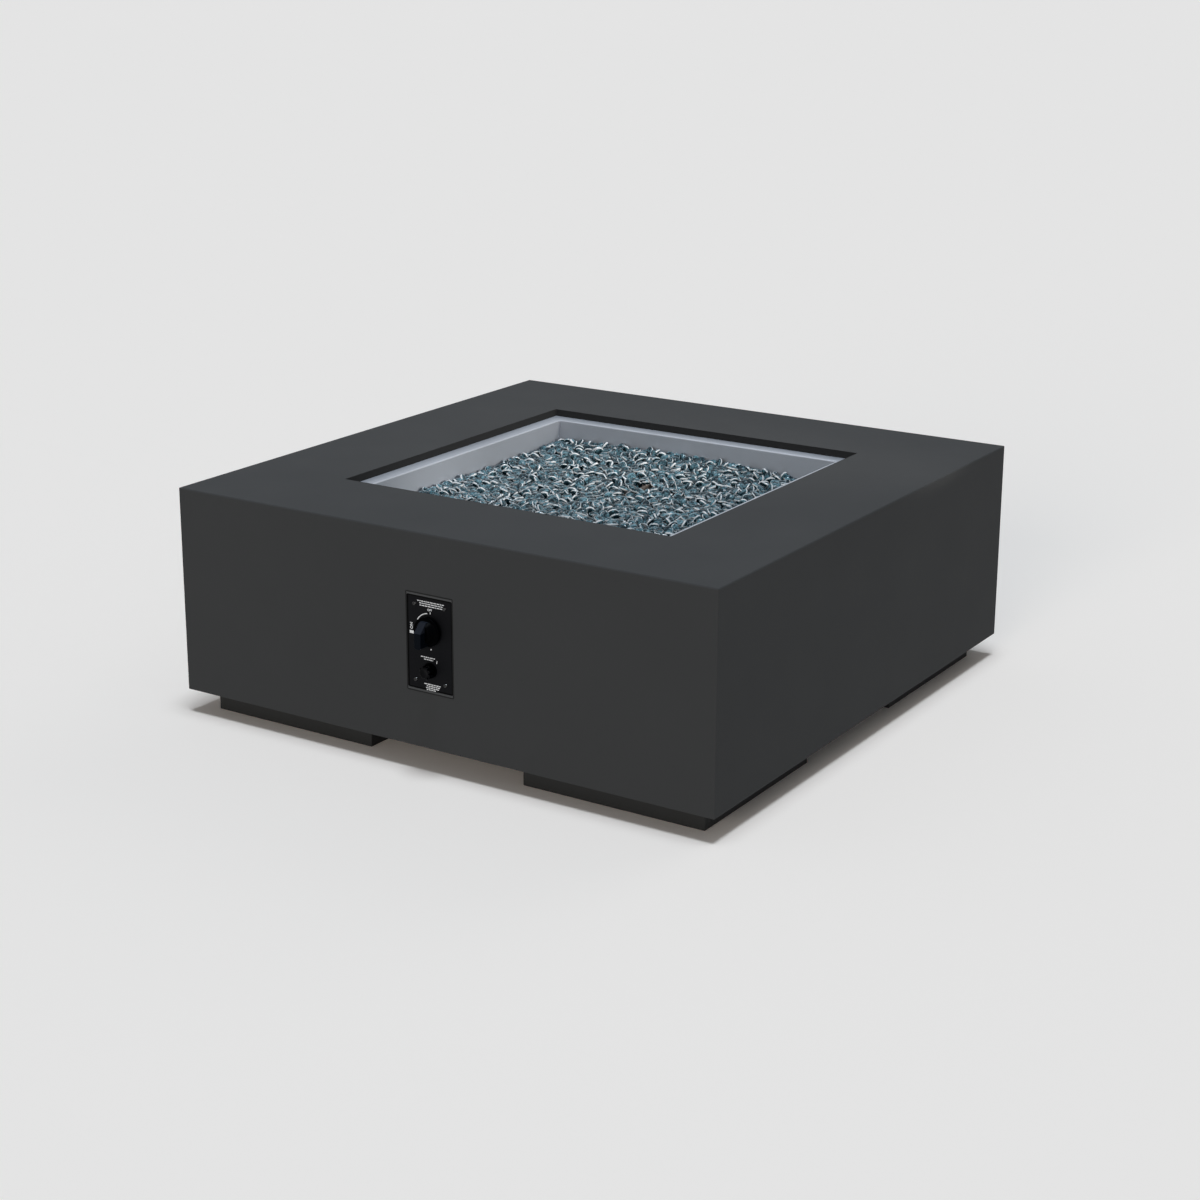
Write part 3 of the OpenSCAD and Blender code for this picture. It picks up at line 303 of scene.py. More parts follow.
@dataclass(frozen=True)
class SheetFinish(Finish):
    """Brushed or rolled sheet metal.

    Attributes:
        rough: The mean roughness.
        grain: The way that the brush marks run.
        metal: How metallic it is, from 0 to 1.
    """

    rough: float
    grain: Grain
    metal: float = 1.0

    def paint(self, shader: Shader) -> None:
        """Lays brush marks and faint smears.

        Args:
            shader: The new material's shader.
        """
        lines = shader.cloud(1400.0, 2.0, 0.6, shader.stretched(self.grain.value))
        smears = shader.span(shader.cloud(7.0, 3.0), 0.3, 0.7)
        rough = shader.span(lines, 0.2, 0.8, self.rough - 0.06, self.rough + 0.07)
        shader.wear(shader.tones(smears, self.colour, 0.94, 1.05), rough, shader.relief(lines, 0.00002, 0.25))
        shader.put(Metallic=self.metal)


@dataclass(frozen=True)
class TurnedFinish(Finish):
    """Turned, pressed or forged metal, with fine tool marks and a little tarnish.

    Attributes:
        tarnish: The colour of the dull places.
        rough: The mean roughness.
    """

    tarnish: Colour
    rough: float = 0.32

    def paint(self, shader: Shader) -> None:
        """Lays tarnish and tool marks.

        Args:
            shader: The new material's shader.
        """
        dull = shader.cloud(120.0, 4.0, 0.6)
        colour = shader.blend(shader.span(dull, 0.35, 0.75), ((0.0, self.colour), (1.0, self.tarnish)))
        rough = shader.span(dull, 0.3, 0.8, self.rough, self.rough + 0.2)
        shader.wear(colour, rough, shader.relief(shader.cloud(2600.0), 0.00001, 0.3))
        shader.put(Metallic=1.0)


@dataclass(frozen=True)
class HeatTintFinish(Finish):
    """Steel near the flame: straw and brown above, greyer below.

    Attributes:
        brown: The colour above.
        low: The height where the steel still has its grey main colour, in metres.
        high: The height where it is brown.
    """

    brown: Colour
    low: float
    high: float

    def paint(self, shader: Shader) -> None:
        """Lays the tint by height, with patches.

        Args:
            shader: The new material's shader.
        """
        up = shader.span(shader.along("Z"), self.low, self.high, 0.0, 0.75)
        patches = shader.span(shader.cloud(45.0, 3.0), 0.3, 0.7, 0.0, 0.25)
        colour = shader.blend(shader.sum(up, patches), ((0.0, self.colour), (0.6, self.brown), (
            1.0, scaled(self.brown, 0.75))))
        rough = shader.span(shader.cloud(70.0, 3.0), 0.3, 0.7, 0.38, 0.55)
        shader.wear(colour, rough, shader.relief(shader.cloud(1500.0), 0.00002, 0.3))
        shader.put(Metallic=0.85)


@dataclass(frozen=True)
class CoatFinish(Finish):
    """Powder coat, moulded plastic or rubber: an even colour with a fine skin.

    Attributes:
        rough: The mean roughness.
        grain: How many bumps of the skin a metre holds.
        depth: The depth of the skin, in metres.
        shine: The strength of the plain reflection.
    """

    rough: float
    grain: float = 1100.0
    depth: float = 0.00003
    shine: float = 0.4

    def paint(self, shader: Shader) -> None:
        """Lays dust and the skin.

        Args:
            shader: The new material's shader.
        """
        dust = shader.cloud(30.0, 4.0, 0.6)
        colour = shader.tones(shader.span(dust, 0.35, 0.75), self.colour, 0.93, 1.1)
        rough = shader.span(dust, 0.3, 0.7, self.rough - 0.04, self.rough + 0.06)
        shader.wear(colour, rough, shader.relief(shader.cloud(self.grain), self.depth, 0.4))
        shader.put(Specular_IOR_Level=self.shine)


@dataclass(frozen=True)
class EdgedFinish(Finish):
    """A coat with another colour along its outer edge: painted shade round the panel's sheets, painted light
    on the grip's facet.

    Attributes:
        edge: The colour along the outer edge: painted shade on the sheets, painted light on the grip.
        half_width: Half of the width to the outer edge, in metres.
        half_height: Half of the height to it.
        band: The width of the edge's colour.
        rough: The coat's roughness.
        sheen: The strength of the plain reflection.
        middle: The height that the edge lies round.
    """

    edge: Colour
    half_width: float
    half_height: float
    band: float
    rough: float = 0.5
    sheen: float = 0.2
    middle: float = 0.2225

    def paint(self, shader: Shader) -> None:
        """Lays the coat and the painted colour along its edge.

        Args:
            shader: The new material's shader.
        """
        # Painted shade on the sheets and painted light on the grip fill a band inside the outer edge.
        nearest = shader.larger(shader.away("X", 0.0, self.half_width),
                                shader.away("Z", self.middle, self.half_height))
        edge = shader.span(nearest, -self.band, 0.0004 - self.band)
        tone = shader.span(shader.cloud(60.0, 3.0), 0.3, 0.7, 0.0, 0.04)
        shader.wear(shader.blend(shader.sum(edge, tone), (
            (0.0, self.colour), (0.06, scaled(self.colour, 0.94)), (1.0, self.edge))))
        shader.put(Roughness=self.rough, Specular_IOR_Level=self.sheen)


@dataclass(frozen=True)
class BeadFinish(Finish):
    """Tinted glass beads: deep in the thick middle, and pale with painted light at the thin edge and where
    the surface is seen edge-on, in place of the light that leaves the glass there.

    Attributes:
        deep: The colour in the middle of a bead, under the main colour.
        rim: The painted light along the rim and where the surface is seen edge-on.
        clear: How much light passes through, from 0 to 1.
    """

    deep: Colour
    rim: Colour
    clear: float = 0.12

    def paint(self, shader: Shader) -> None:
        """Lays the colours from the middle to the painted rim light, with ripples and swirls.

        Args:
            shader: The new material's shader.
        """
        ripple = shader.relief(shader.cloud(170.0, 1.0), 0.0016, 0.6)
        view = add_node(shader.tree, "LayerWeight", (("Normal", ripple),), Blend=0.5)
        thin = add_node(shader.tree, "Attribute")
        thin.attribute_name = THIN_EDGE
        # Painted light: far is pale where the surface is seen edge-on, near is pale close to the thin edge.
        far = shader.span(view.outputs["Facing"], 0.80, 0.92)
        near = shader.span(thin.outputs["Fac"], 0.64, 0.76, 0.0, 0.92)
        patch = shader.span(shader.cloud(70.0, 1.0), 0.38, 0.64, -0.16, 0.30)
        swirl = shader.span(shader.cloud(260.0, 2.0, 0.7), 0.36, 0.64, -0.24, 0.36)
        shade = shader.sum(shader.larger(far, near), shader.sum(patch, swirl))
        stops = ((0.0, self.deep), (0.30, self.colour), (0.62, scaled(self.colour, 1.9)), (0.90, self.rim))
        shader.wear(shader.blend(shade, stops), None, ripple)
        shader.put(Transmission_Weight=self.clear, IOR=1.5, Roughness=0.06, Specular_IOR_Level=0.16)


@dataclass(frozen=True)
class DeepBedFinish(Finish):
    """The dark of the heap below its upper beads, which show a little: painted shade, darkest in the gaps
    between cells.

    Attributes:
        dark: The painted shade in the gaps.
    """

    dark: Colour

    def paint(self, shader: Shader) -> None:
        """Lays a pattern of cells, with painted shade in their gaps.

        Args:
            shader: The new material's shader.
        """
        cells = shader.span(shader.cells(70.0), 0.1, 0.6)
        shader.wear(shader.blend(cells, ((0.0, self.colour), (0.7, self.dark), (1.0, self.dark))), None,
                    shader.relief(cells, 0.004, 0.8))
        shader.put(Roughness=0.25)


@dataclass(frozen=True)
class GlazeFinish(Finish):
    """White glazed ceramic with a faint speckle."""

    def paint(self, shader: Shader) -> None:
        """Lays the speckle."""
        speckle = shader.span(shader.cloud(700.0, 2.0), 0.3, 0.75)
        shader.wear(shader.tones(speckle, self.colour, 1.0, 0.88),
                    shader.span(shader.cloud(90.0), 0.3, 0.7, 0.14, 0.26))


# Its last number is the mouth: the faces inside the fire opening get painted shade.
CAST_BODY = CastFinish("cast_body", (0.0515, 0.0520, 0.0522), 0.09, 0.74, 0.3303)
CAST_PADS = CastFinish("cast_pads", (0.041, 0.041, 0.040), 0.10, 0.80)
ZINC = TurnedFinish("zinc_plate", (0.50, 0.51, 0.52), (0.30, 0.31, 0.33))
PRIMED_STEEL = CoatFinish("primed_steel", (0.16, 0.17, 0.18), 0.6, 500.0)
BRASS = TurnedFinish("turned_brass", (0.62, 0.45, 0.18), (0.36, 0.24, 0.10), 0.28)
FORGED_BRASS = TurnedFinish("forged_brass", (0.50, 0.38, 0.17), (0.30, 0.22, 0.12), 0.42)
PAN_STEEL = SheetFinish("pan_steel", (0.43, 0.455, 0.50), 0.50, Grain.NONE, 0.66)
BURNER_STEEL = HeatTintFinish("burner_steel", (0.34, 0.33, 0.32), (0.26, 0.19, 0.14), 0.29, 0.33)
MIXER_METAL = TurnedFinish("mixer_alloy", (0.42, 0.43, 0.44), (0.28, 0.29, 0.30), 0.5)
HOOD_STEEL = HeatTintFinish("hood_steel", (0.30, 0.29, 0.28), (0.30, 0.25, 0.22), 0.30, 0.36)
CERAMIC = GlazeFinish("white_ceramic", (0.80, 0.77, 0.70))
COPPER = TurnedFinish("probe_alloy", (0.48, 0.30, 0.19), (0.28, 0.17, 0.12), 0.38)
WIRE_JACKET = CoatFinish("silicone_jacket", (0.28, 0.05, 0.04), 0.5, 900.0)
SHIELD_SHEET = SheetFinish("shield_sheet", (0.60, 0.61, 0.62), 0.35, Grain.ALONG_X)
BOX_COAT = CoatFinish("box_coat", (0.030, 0.031, 0.033), 0.5)
# The bezel's dark outer band is a painted shadow line where it meets the casting.
BEZEL_COAT = EdgedFinish("bezel_coat", (0.066, 0.067, 0.068), (0.006, 0.006, 0.006), 0.0472, 0.0847, 0.0022)
# The plate's dark outer band is painted shade along its edge.
PLATE_COAT = EdgedFinish("plate_coat", (0.0065, 0.0067, 0.0079), (0.0002, 0.0002, 0.0002), 0.045, 0.0795,
                         0.0026, 0.55, 0.05)
SCREW_COAT = CoatFinish("plate_screw_coat", (0.0003, 0.0003, 0.0004), 0.07, 1500.0, 0.00001, 0.75)
# knob_plastic and skirt_plastic are lit and shaded copies of the knob's one black plastic: the grip is
# painted lighter and bluer, with painted light at its upper facet; the skirt stays near black as painted
# shade.
KNOB_PLASTIC = EdgedFinish("knob_plastic", (0.0023, 0.0038, 0.0066), (0.0155, 0.0180, 0.0245), 0.5, 0.0450,
                           0.0156, 0.30, 0.035, 0.2200)
SKIRT_PLASTIC = CoatFinish("skirt_plastic", (0.0004, 0.0005, 0.0008), 0.34, 1500.0, 0.00001, 0.012)
CAP_PLASTIC = CoatFinish("cap_plastic", (0.0005, 0.0007, 0.0014), 0.14, 1500.0, 0.00001, 0.07)
SPRING_STEEL = TurnedFinish("spring_steel", (0.55, 0.56, 0.57), (0.40, 0.41, 0.43), 0.25)
BATTERY = CoatFinish("battery_sleeve", (0.06, 0.17, 0.28), 0.22, 300.0, 0.00001, 0.5)
HOSE_RUBBER = CoatFinish("hose_rubber", (0.020, 0.020, 0.021), 0.6, 800.0)
INK = CoatFinish("panel_ink", (0.90, 0.90, 0.90), 0.5, 1500.0, 0.00001, 0.3)
# The last colour is the beads' painted rim light.
BEADS = BeadFinish("bead_glass", (0.094, 0.194, 0.232), (0.007, 0.022, 0.032), (0.94, 0.92, 0.91))
# The slab under the loose beads is painted with the shade among the lower beads.
DEEP_BED = DeepBedFinish("deep_bed", (0.05, 0.085, 0.10), (0.012, 0.020, 0.025))


@dataclass
class Wardrobe:
    """Makes each finish once and puts it on objects."""

    made: dict[str, bpy.types.Material] = field(default_factory=dict)

    def dress(self, obj: bpy.types.Object, finish: Finish) -> None:
        """Gives an object this finish in all of its slots.

        Args:
            obj: The object.
            finish: What it gets.
        """
        if finish.name not in self.made:
            self.made[finish.name] = finish.make()
        material = self.made[finish.name]
        if not obj.material_slots:
            obj.data.materials.append(material)
        for place in obj.material_slots:
            place.material = material


WARDROBE = Wardrobe()


# Help for new pieces


def placed(name: str, data: bpy.types.ID) -> bpy.types.Object:
    """A new object in the scene.

    Args:
        name: Its name.
        data: Its mesh, curve, light or camera.

    Returns:
        The object.
    """
    obj = bpy.data.objects.new(name, data)
    bpy.context.scene.collection.objects.link(obj)
    return obj


def mesh_of(name: str, shape: Shape) -> bpy.types.Mesh:
    """A new mesh with this shape, which is freed.

    Args:
        name: The mesh's name.
        shape: The shape.

    Returns:
        The mesh.
    """
    mesh = bpy.data.meshes.new(name)
    shape.to_mesh(mesh)
    shape.free()
    return mesh


def add_piece(name: str, shape: Shape, body: Body, finish: Finish, stands_for: Iterable[str] = (),
              crease: float = 35.0) -> bpy.types.Object:
    """Turns a bmesh into a piece of the object.

    Args:
        name: The piece's name.
        shape: Its mesh, in the row frame. It is freed.
        body: The body that it rides on.
        finish: Its material.
        stands_for: The CAD nodes that it replaces.
        crease: Edges sharper than this angle stay sharp, in degrees.

    Returns:
        The new object.
    """
    mesh = mesh_of(name, shape)
    mesh.shade_smooth()
    mesh.set_sharp_from_angle(angle=math.radians(crease))
    obj = placed(name, mesh)
    WARDROBE.dress(obj, finish)
    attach(obj, body.value)
    if stands_for:
        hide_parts(*stands_for)
    LOG.info("%s: %d faces, rides on %s", name, len(mesh.polygons), body.value)
    return obj


def turned(profile: Profile, steps: int) -> Shape:
    """A body of revolution about Z.

    Args:
        profile: Points (radius, height) from the axis round to the axis, in millimetres.
        steps: Faces round the axis.

    Returns:
        The closed shape.
    """
    shape = bmesh.new()
    points = [shape.verts.new((radius * MM, 0.0, height * MM)) for radius, height in profile]
    edges = [shape.edges.new(pair) for pair in zip(points, points[1:])]
    bmesh.ops.spin(shape, geom=points + edges, cent=(0, 0, 0), axis=(0, 0, 1), dvec=(0, 0, 0),
                   angle=math.tau, steps=steps, use_merge=True, use_normal_flip=False, use_duplicate=False)
    bmesh.ops.remove_doubles(shape, verts=shape.verts, dist=WELD)
    bmesh.ops.recalc_face_normals(shape, faces=shape.faces)
    return shape


def curve_shape(curve: bpy.types.Curve, weld: float) -> Shape:
    """Turns a curve or a text into a mesh shape, and removes it.

    Args:
        curve: The curve.
        weld: Points closer than this become one, in metres.

    Returns:
        Its shape.
    """
    holder = placed(curve.name, curve)
    mesh = bpy.data.meshes.new_from_object(holder.evaluated_get(bpy.context.evaluated_depsgraph_get()))
    shape = bmesh.new()
    shape.from_mesh(mesh)
    bpy.data.objects.remove(holder)
    bpy.data.curves.remove(curve)
    bpy.data.meshes.remove(mesh)
    bmesh.ops.remove_doubles(shape, verts=shape.verts, dist=weld)
    return shape


def absorb(shape: Shape, other: Shape) -> None:
    """Adds another shape to this one, and frees it.

    Args:
        shape: The shape that grows.
        other: The shape that it takes in.
    """
    spare = mesh_of("spare", other)
    shape.from_mesh(spare)
    bpy.data.meshes.remove(spare)


def extruded(shape: Shape) -> list[bmesh.types.BMVert]:
    """Extrudes all faces of a shape and gives their new points."""
    found = bmesh.ops.extrude_face_region(shape, geom=list(shape.faces))["geom"]
    return [item for item in found if isinstance(item, bmesh.types.BMVert)]


def round_edges(shape: Shape, edges: list[bmesh.types.BMEdge], offset: float, segments: int) -> None:
    """Rounds these edges of a shape."""
    bmesh.ops.bevel(shape, geom=edges, offset=offset, affect="EDGES", segments=segments, profile=0.5,
                    material=-1)


def on_panel(height: float) -> Matrix:
    """The place of a panel part at a height: its local Z leaves the body and its local Y is up."""
    turn = Matrix(((1, 0, 0, 0), (0, 0, -1, 0), (0, 1, 0, 0), (0, 0, 0, 1)))
    return Matrix.Translation((0.0, ControlPanel.face, height)) @ turn


# Fire glass


@dataclass
class BeadHeap:
    """The glass beads that fill the pan: one at every point of the loose grid that the CAD bed uses.

    Lengths are in metres and tilts in radians. A bead's own pairs are the least and the most.

    Attributes:
        floor: The height of the pan's floor.
        half: Half of the bed's width.
        cells: Grid steps along a side.
        relief: How far a bead stands above or below the mean surface.
        stray_share: How far a point strays, as a share of the grid's step.
        scatter_gain, scatter_steps: The numbers of the CAD source's scatter formula.
        hood: The hood's box: low x, high x, low y, high y.
        hood_room, wall_room: How far the beads' middles stay from it, and from the bed's edge.
        on_hood, hood_lean: The beads that lean on the hood, and their tilt.
        seed, kinds: The seed of the draws, and how many different beads there are.
        length, width, thick, bend: A bead's half sizes, and how far it bends.
        lump: How uneven it is, and how closely its bumps follow each other.
        drop: How far crowns and gaps lie below the CAD bed's.
        lean: The spread of the lying beads' tilt.
        standing_share, standing: The share of beads that stand more on edge, and their tilt.
        size: The size of a laid bead, as a share.
        core_steps: Faces along a side of the slab under the beads.
        core_room: How far it stays from the bed's edge, and from the hood.
        core_ripple: The height of its ripples, and how many a metre holds.
        core_top, core_bottom: How far it ends below the surface, and starts above the pan's floor.
    """

    floor: float = 0.295
    half: float = 0.3016
    cells: int = 48
    relief: float = 0.004
    stray_share: float = 0.26
    scatter_gain: float = 43758.5
    scatter_steps: Point = (12.9898, 78.233, 37.719)
    hood: tuple[float, float, float, float] = (0.012, 0.038, 0.024, 0.101)
    hood_room: float = 0.0062
    wall_room: float = 0.0102
    on_hood: tuple[Point, ...] = ((0.036, 0.098, 0.3645), (0.047, 0.090, 0.3590), (0.036, 0.029, 0.3645),
                                  (0.047, 0.036, 0.3590))
    hood_lean: float = 0.5
    seed: int = 11
    kinds: int = 9
    length: Span = (0.0096, 0.0114)
    width: Span = (0.0080, 0.0096)
    thick: Span = (0.0040, 0.0052)
    bend: Span = (-0.0008, 0.0012)
    lump: Span = (0.08, 0.9)
    drop: Span = (0.0032, 0.0062)
    lean: float = 0.38
    standing_share: float = 0.34
    standing: Span = (0.6, 1.2)
    size: Span = (0.88, 1.08)
    core_steps: int = 72
    core_room: Span = (0.0006, 0.004)
    core_ripple: Span = (0.0016, 90.0)
    core_top: float = 0.0125
    core_bottom: float = 0.0285

    def level(self, x: float, y: float) -> float:
        """The height of the glass surface above the floor, x to the right and y behind the middle."""
        u, v = x / self.half, y / self.half
        return self.floor + 0.060 + 0.007 * v * v - 0.012 * u * u - 0.005 * u

    def scatter(self, i: int, j: int, k: int) -> float:
        """The CAD source's scatter value for a grid point, from 0 to 1.

        Args:
            i: The point's number along X.
            j: The point's number along Y.
            k: Which of its scatter values.

        Returns:
            The value.
        """
        along_i, along_j, along_k = self.scatter_steps
        value = self.scatter_gain * math.sin(math.radians(along_i * i + along_j * j + along_k * k))
        return value - math.floor(value)

    def coordinate(self, step: int, i: int, j: int, k: int) -> float:
        """One coordinate of a grid point's bead.

        Args:
            step: The point's number along that axis.
            i: The point's number along X.
            j: The point's number along Y.
            k: Which of the point's scatter values it uses.

        Returns:
            The coordinate, in metres, kept off the bed's edge.
        """
        stray = (2 * self.scatter(i, j, k) - 1) * self.stray_share * 2 * self.half / self.cells
        found = self.half * (2 * step / self.cells - 1) + (stray if step % self.cells else 0.0)
        limit = self.half - self.wall_room
        return max(-limit, min(limit, found))

    def in_hood(self, x: float, y: float, room: float) -> bool:
        """Whether a place is inside the hood or closer to it than room."""
        low_x, high_x, low_y, high_y = self.hood
        return low_x - room < x < high_x + room and low_y - room < y < high_y + room

    def stamp(self, rng: random.Random) -> bpy.types.Mesh:
        """One bead: a flattened pebble, a little uneven and a little bent.

        Args:
            rng: The source of its shape.

        Returns:
            A mesh of 112 faces, centred on the origin, with how near each point is to the thin edge.
        """
        shape = bmesh.new()
        bmesh.ops.create_uvsphere(shape, u_segments=14, v_segments=8, radius=1.0)
        edge = shape.verts.layers.float.new(THIN_EDGE)
        length, width, thick, bend = (rng.uniform(*span) for span in (self.length, self.width, self.thick,
                                                                      self.bend))
        turn = Vector((rng.uniform(0, 9), rng.uniform(0, 9), 0.0))
        height, pace = self.lump
        for vert in shape.verts:
            x, y, z = vert.co
            vert[edge] = 1.0 - abs(z)
            lump = 1.0 + height * noise.noise(Vector((x, y, z)) * pace + turn)
            vert.co = (length * x * lump, width * y * lump, thick * z * lump + bend * x * x)
        return mesh_of("bead", shape)

    def lay(self, rng: random.Random, i: int, j: int) -> Matrix | None:
        """Where the bead of one grid point lies.

        Args:
            rng: The source of its turn and tilt.
            i: The point's number along X.
            j: The point's number along Y.

        Returns:
            Its transform, or None where it would be in the hood.
        """
        x, y = self.coordinate(i, i, j, 1), self.coordinate(j, i, j, 2)
        if self.in_hood(x, y, self.hood_room):
            return None
        rise = self.relief * (1 + 2 * self.scatter(i, j, 3)) / 3
        crown, gap = self.drop
        height = self.level(x, y) + (rise - crown if (i + j) % 2 == 0 else -rise - gap)
        lying = rng.random() > self.standing_share
        tilt = rng.gauss(0.0, self.lean) if lying else rng.uniform(*self.standing)
        return (Matrix.Translation((x, y, height)) @ Matrix.Rotation(rng.uniform(0, math.tau), 4, "Z")
                @ Matrix.Rotation(tilt, 4, "X") @ Matrix.Rotation(rng.uniform(0, math.tau), 4, "Z")
                @ Matrix.Scale(rng.uniform(*self.size), 4))

    def core(self) -> Shape:
        """The closed slab under the loose beads, open where the hood stands.

        Returns:
            Its shape.
        """
        edge_room, hood_room = self.core_room
        height, pace = self.core_ripple
        shape = bmesh.new()
        bmesh.ops.create_grid(shape, x_segments=self.core_steps, y_segments=self.core_steps,
                              size=self.half - edge_room)
        gone = [face for face in shape.faces if self.in_hood(*face.calc_center_median().xy, hood_room)]
        bmesh.ops.delete(shape, geom=gone, context="FACES")
        for vert in shape.verts:
            ripple = height * noise.noise(vert.co * pace)
            vert.co.z = self.level(vert.co.x, vert.co.y) - self.core_top + ripple
        for vert in extruded(shape):
            vert.co.z = self.floor + self.core_bottom
        bmesh.ops.recalc_face_normals(shape, faces=shape.faces)
        return shape

    def build(self) -> None:
        """Makes the bed and its beads in four quarters."""
        rng = random.Random(self.seed)
        add_piece("glass_bed_core", self.core(), Body.TABLE, DEEP_BED, ("fire_glass",))
        stamps = [self.stamp(rng) for _ in range(self.kinds)]
        heaps = {(x, y): bmesh.new() for x in (False, True) for y in (False, True)}

        def drop_bead(place: Matrix) -> None:
            """Adds a bead of some kind to its quarter.

            Args:
                place: Where it lies.
            """
            stamp = rng.choice(stamps)
            stamp.transform(place)
            heaps[place.translation.x > 0, place.translation.y > 0].from_mesh(stamp)
            stamp.transform(place.inverted())

        for i in range(self.cells + 1):
            for j in range(self.cells + 1):
                place = self.lay(rng, i, j)
                if place is not None:
                    drop_bead(place)
        for point in self.on_hood:
            drop_bead(Matrix.Translation(point) @ Matrix.Rotation(self.hood_lean, 4, "Y"))
        for (right, back), heap in heaps.items():
            name = f"beads_{'back' if back else 'front'}_{'right' if right else 'left'}"
            add_piece(name, heap, Body.TABLE, BEADS, ("fire_glass",), 180.0)
        for stamp in stamps:
            bpy.data.meshes.remove(stamp)


# Control panel


@dataclass(frozen=True)
class PrintedLine:
    """A row of plain dashes on the panel.

    Attributes:
        left: Where it starts, in millimetres from the middle line.
        right: Where it ends.
        height: Its middle above the bottom of the surround, in millimetres.
    """

    left: float
    right: float
    height: float


@dataclass
class ControlPanel:
    """The knob, the igniter cap and the print on the black plate.

    Attributes:
        face: The plate's front, along Y.
        body_bottom: The height of the surround's bottom edge.
        valve_height, igniter_height: The heights of the knob's and the cap's axes.
        skirt, cap_profile: The profiles of the knob's skirt and of the cap, in millimetres.
        grip_width: The width of the bar grip.
        grip_ends, grip_depths: Its lower and upper end from the axis, its base and tip from the plate.
        facet: How far its slanted facet reaches down and back.
        grip_corners: The radius of its upright edges, and of the others.
        lobes, lobe_form: How many notches the cap has, and the power that makes them wide.
        lobe_root, lobe_reach: The radius where they end, and how far out they grow to full depth.
        lobe_depth: Their depth, as a share of the radius.
        ink_rise: How far the print stands out of the plate.
        letter_weight: How much bolder than plain its letters are.
        seed: The seed of the dashes' widths.
        lines: The rows of plain dashes.
        dash, dash_gap, dash_height: A dash's least and most width, the gap after it, and its height.
        bars: The small bars: x and height of the middle, width, height and turn.
        arc_radii, arc_turn: The arc's inner and outer radius, its start and its run in degrees.
        dot_place, dot_radius: The dot's place above the surround's bottom edge, and its radius.
    """

    face = -0.5325
    body_bottom: float = 0.041
    valve_height: float = 0.2458
    igniter_height: float = 0.178
    skirt: Profile = (
        (0, 12.1), (16, 12.1), (16, 4.1), (24.3, 4.1), (24.8, 4.4), (25, 5.0), (25, 9.4), (24.8, 10.1),
        (24.2, 10.6), (20.6, 10.6), (19.9, 10.8), (19.4, 11.4), (15.4, 21.4), (14.9, 22.0), (14.2, 22.3),
        (0, 22.3))
    cap_profile: Profile = (
        (0, -3.0), (7.9, -3.0), (7.9, 5.4), (10.6, 5.4), (11.2, 5.6), (11.5, 6.2), (11.5, 14.0),
        (11.4, 15.0), (11.2, 15.9), (10.8, 16.7), (10.1, 17.3), (9.2, 17.65), (8.2, 17.8), (6.2, 17.75),
        (5.6, 17.4), (0, 17.4))
    grip_width: float = 0.013
    grip_ends: Span = (-0.023, 0.019)
    grip_depths: Span = (0.012, 0.034)
    facet: float = 0.0150
    grip_corners: Span = (0.0038, 0.0007)
    lobes: int = 8
    lobe_root: float = 0.0081
    lobe_reach: float = 0.0034
    lobe_depth: float = 0.24
    lobe_form: float = 0.8
    ink_rise: float = 0.00012
    letter_weight: float = 0.00012
    seed: int = 4
    lines: tuple[PrintedLine, ...] = (
        PrintedLine(-24.0, 29.0, 252.6), PrintedLine(-20.0, 28.0, 249.0), PrintedLine(-19.5, 27.0, 245.4),
        PrintedLine(-19.0, 9.5, 158.2), PrintedLine(-12.5, 6.0, 154.6),
        PrintedLine(-13.0, 20.0, 112.6), PrintedLine(-8.0, 18.5, 109.4), PrintedLine(-9.5, 16.5, 106.2),
        PrintedLine(-8.0, 12.0, 103.2),
    )
    dash: Span = (2.2, 6.5)
    dash_gap: float = 1.0
    dash_height: float = 1.5
    bars: tuple[tuple[float, float, float, float, float], ...] = (
        (1.6, 234.6, 1.5, 3.2, 0.0), (-36.6, 196.8, 8.0, 4.8, 0.0), (13.2, 153.2, 1.3, 4.8, -12.0))
    arc_radii: Span = (0.0279, 0.0296)
    arc_turn: Span = (99.0, 50.0)
    dot_place: Span = (0.002, 0.1730)
    dot_radius: float = 0.0012

    def knob(self) -> None:
        """The skirt and its cone, with the bar grip across them."""
        # The grip and the skirt take lit and shaded copies of one plastic.
        for name, part, finish, crease in (("knob_skirt", turned(self.skirt, 96), SKIRT_PLASTIC, 35.0),
                                           ("knob_grip", self.grip(), KNOB_PLASTIC, 9.0)):
            bmesh.ops.transform(part, matrix=on_panel(self.valve_height), verts=part.verts)
            add_piece(name, part, Body.KNOB, finish, ("control_knob",), crease)

    def grip(self) -> Shape:
        """The bar grip: straight sides, a slanted facet at its upper end and rounded edges.

        Returns:
            Its shape, round the knob's axis.
        """
        low, high = self.grip_ends
        base, tip = self.grip_depths
        corner, edge_round = self.grip_corners
        shape = bmesh.new()
        bmesh.ops.create_cube(shape, size=1.0)
        bmesh.ops.scale(shape, vec=(self.grip_width, high - low, tip - base), verts=shape.verts)
        bmesh.ops.translate(shape, vec=(0, (high + low) / 2, (tip + base) / 2), verts=shape.verts)
        cut = bmesh.ops.bisect_plane(shape, geom=list(shape.verts) + list(shape.edges) + list(shape.faces),
                                     plane_co=(0, high, tip - self.facet),
                                     plane_no=(0, self.facet, self.facet), clear_outer=True)
        rim = [item for item in cut["geom_cut"] if isinstance(item, bmesh.types.BMEdge)]
        bmesh.ops.edgeloop_fill(shape, edges=rim)
        upright = [edge for edge in shape.edges
                   if abs((edge.verts[0].co - edge.verts[1].co).normalized().z) > 0.95
                   and min(v.co.y for v in edge.verts) < 0]
        round_edges(shape, upright, corner, 12)
        sharp = [edge for edge in shape.edges
                 if len(edge.link_faces) == 2 and edge.calc_face_angle(0.0) > math.radians(24)]
        round_edges(shape, sharp, edge_round, 3)
        bmesh.ops.recalc_face_normals(shape, faces=shape.faces)
        return shape

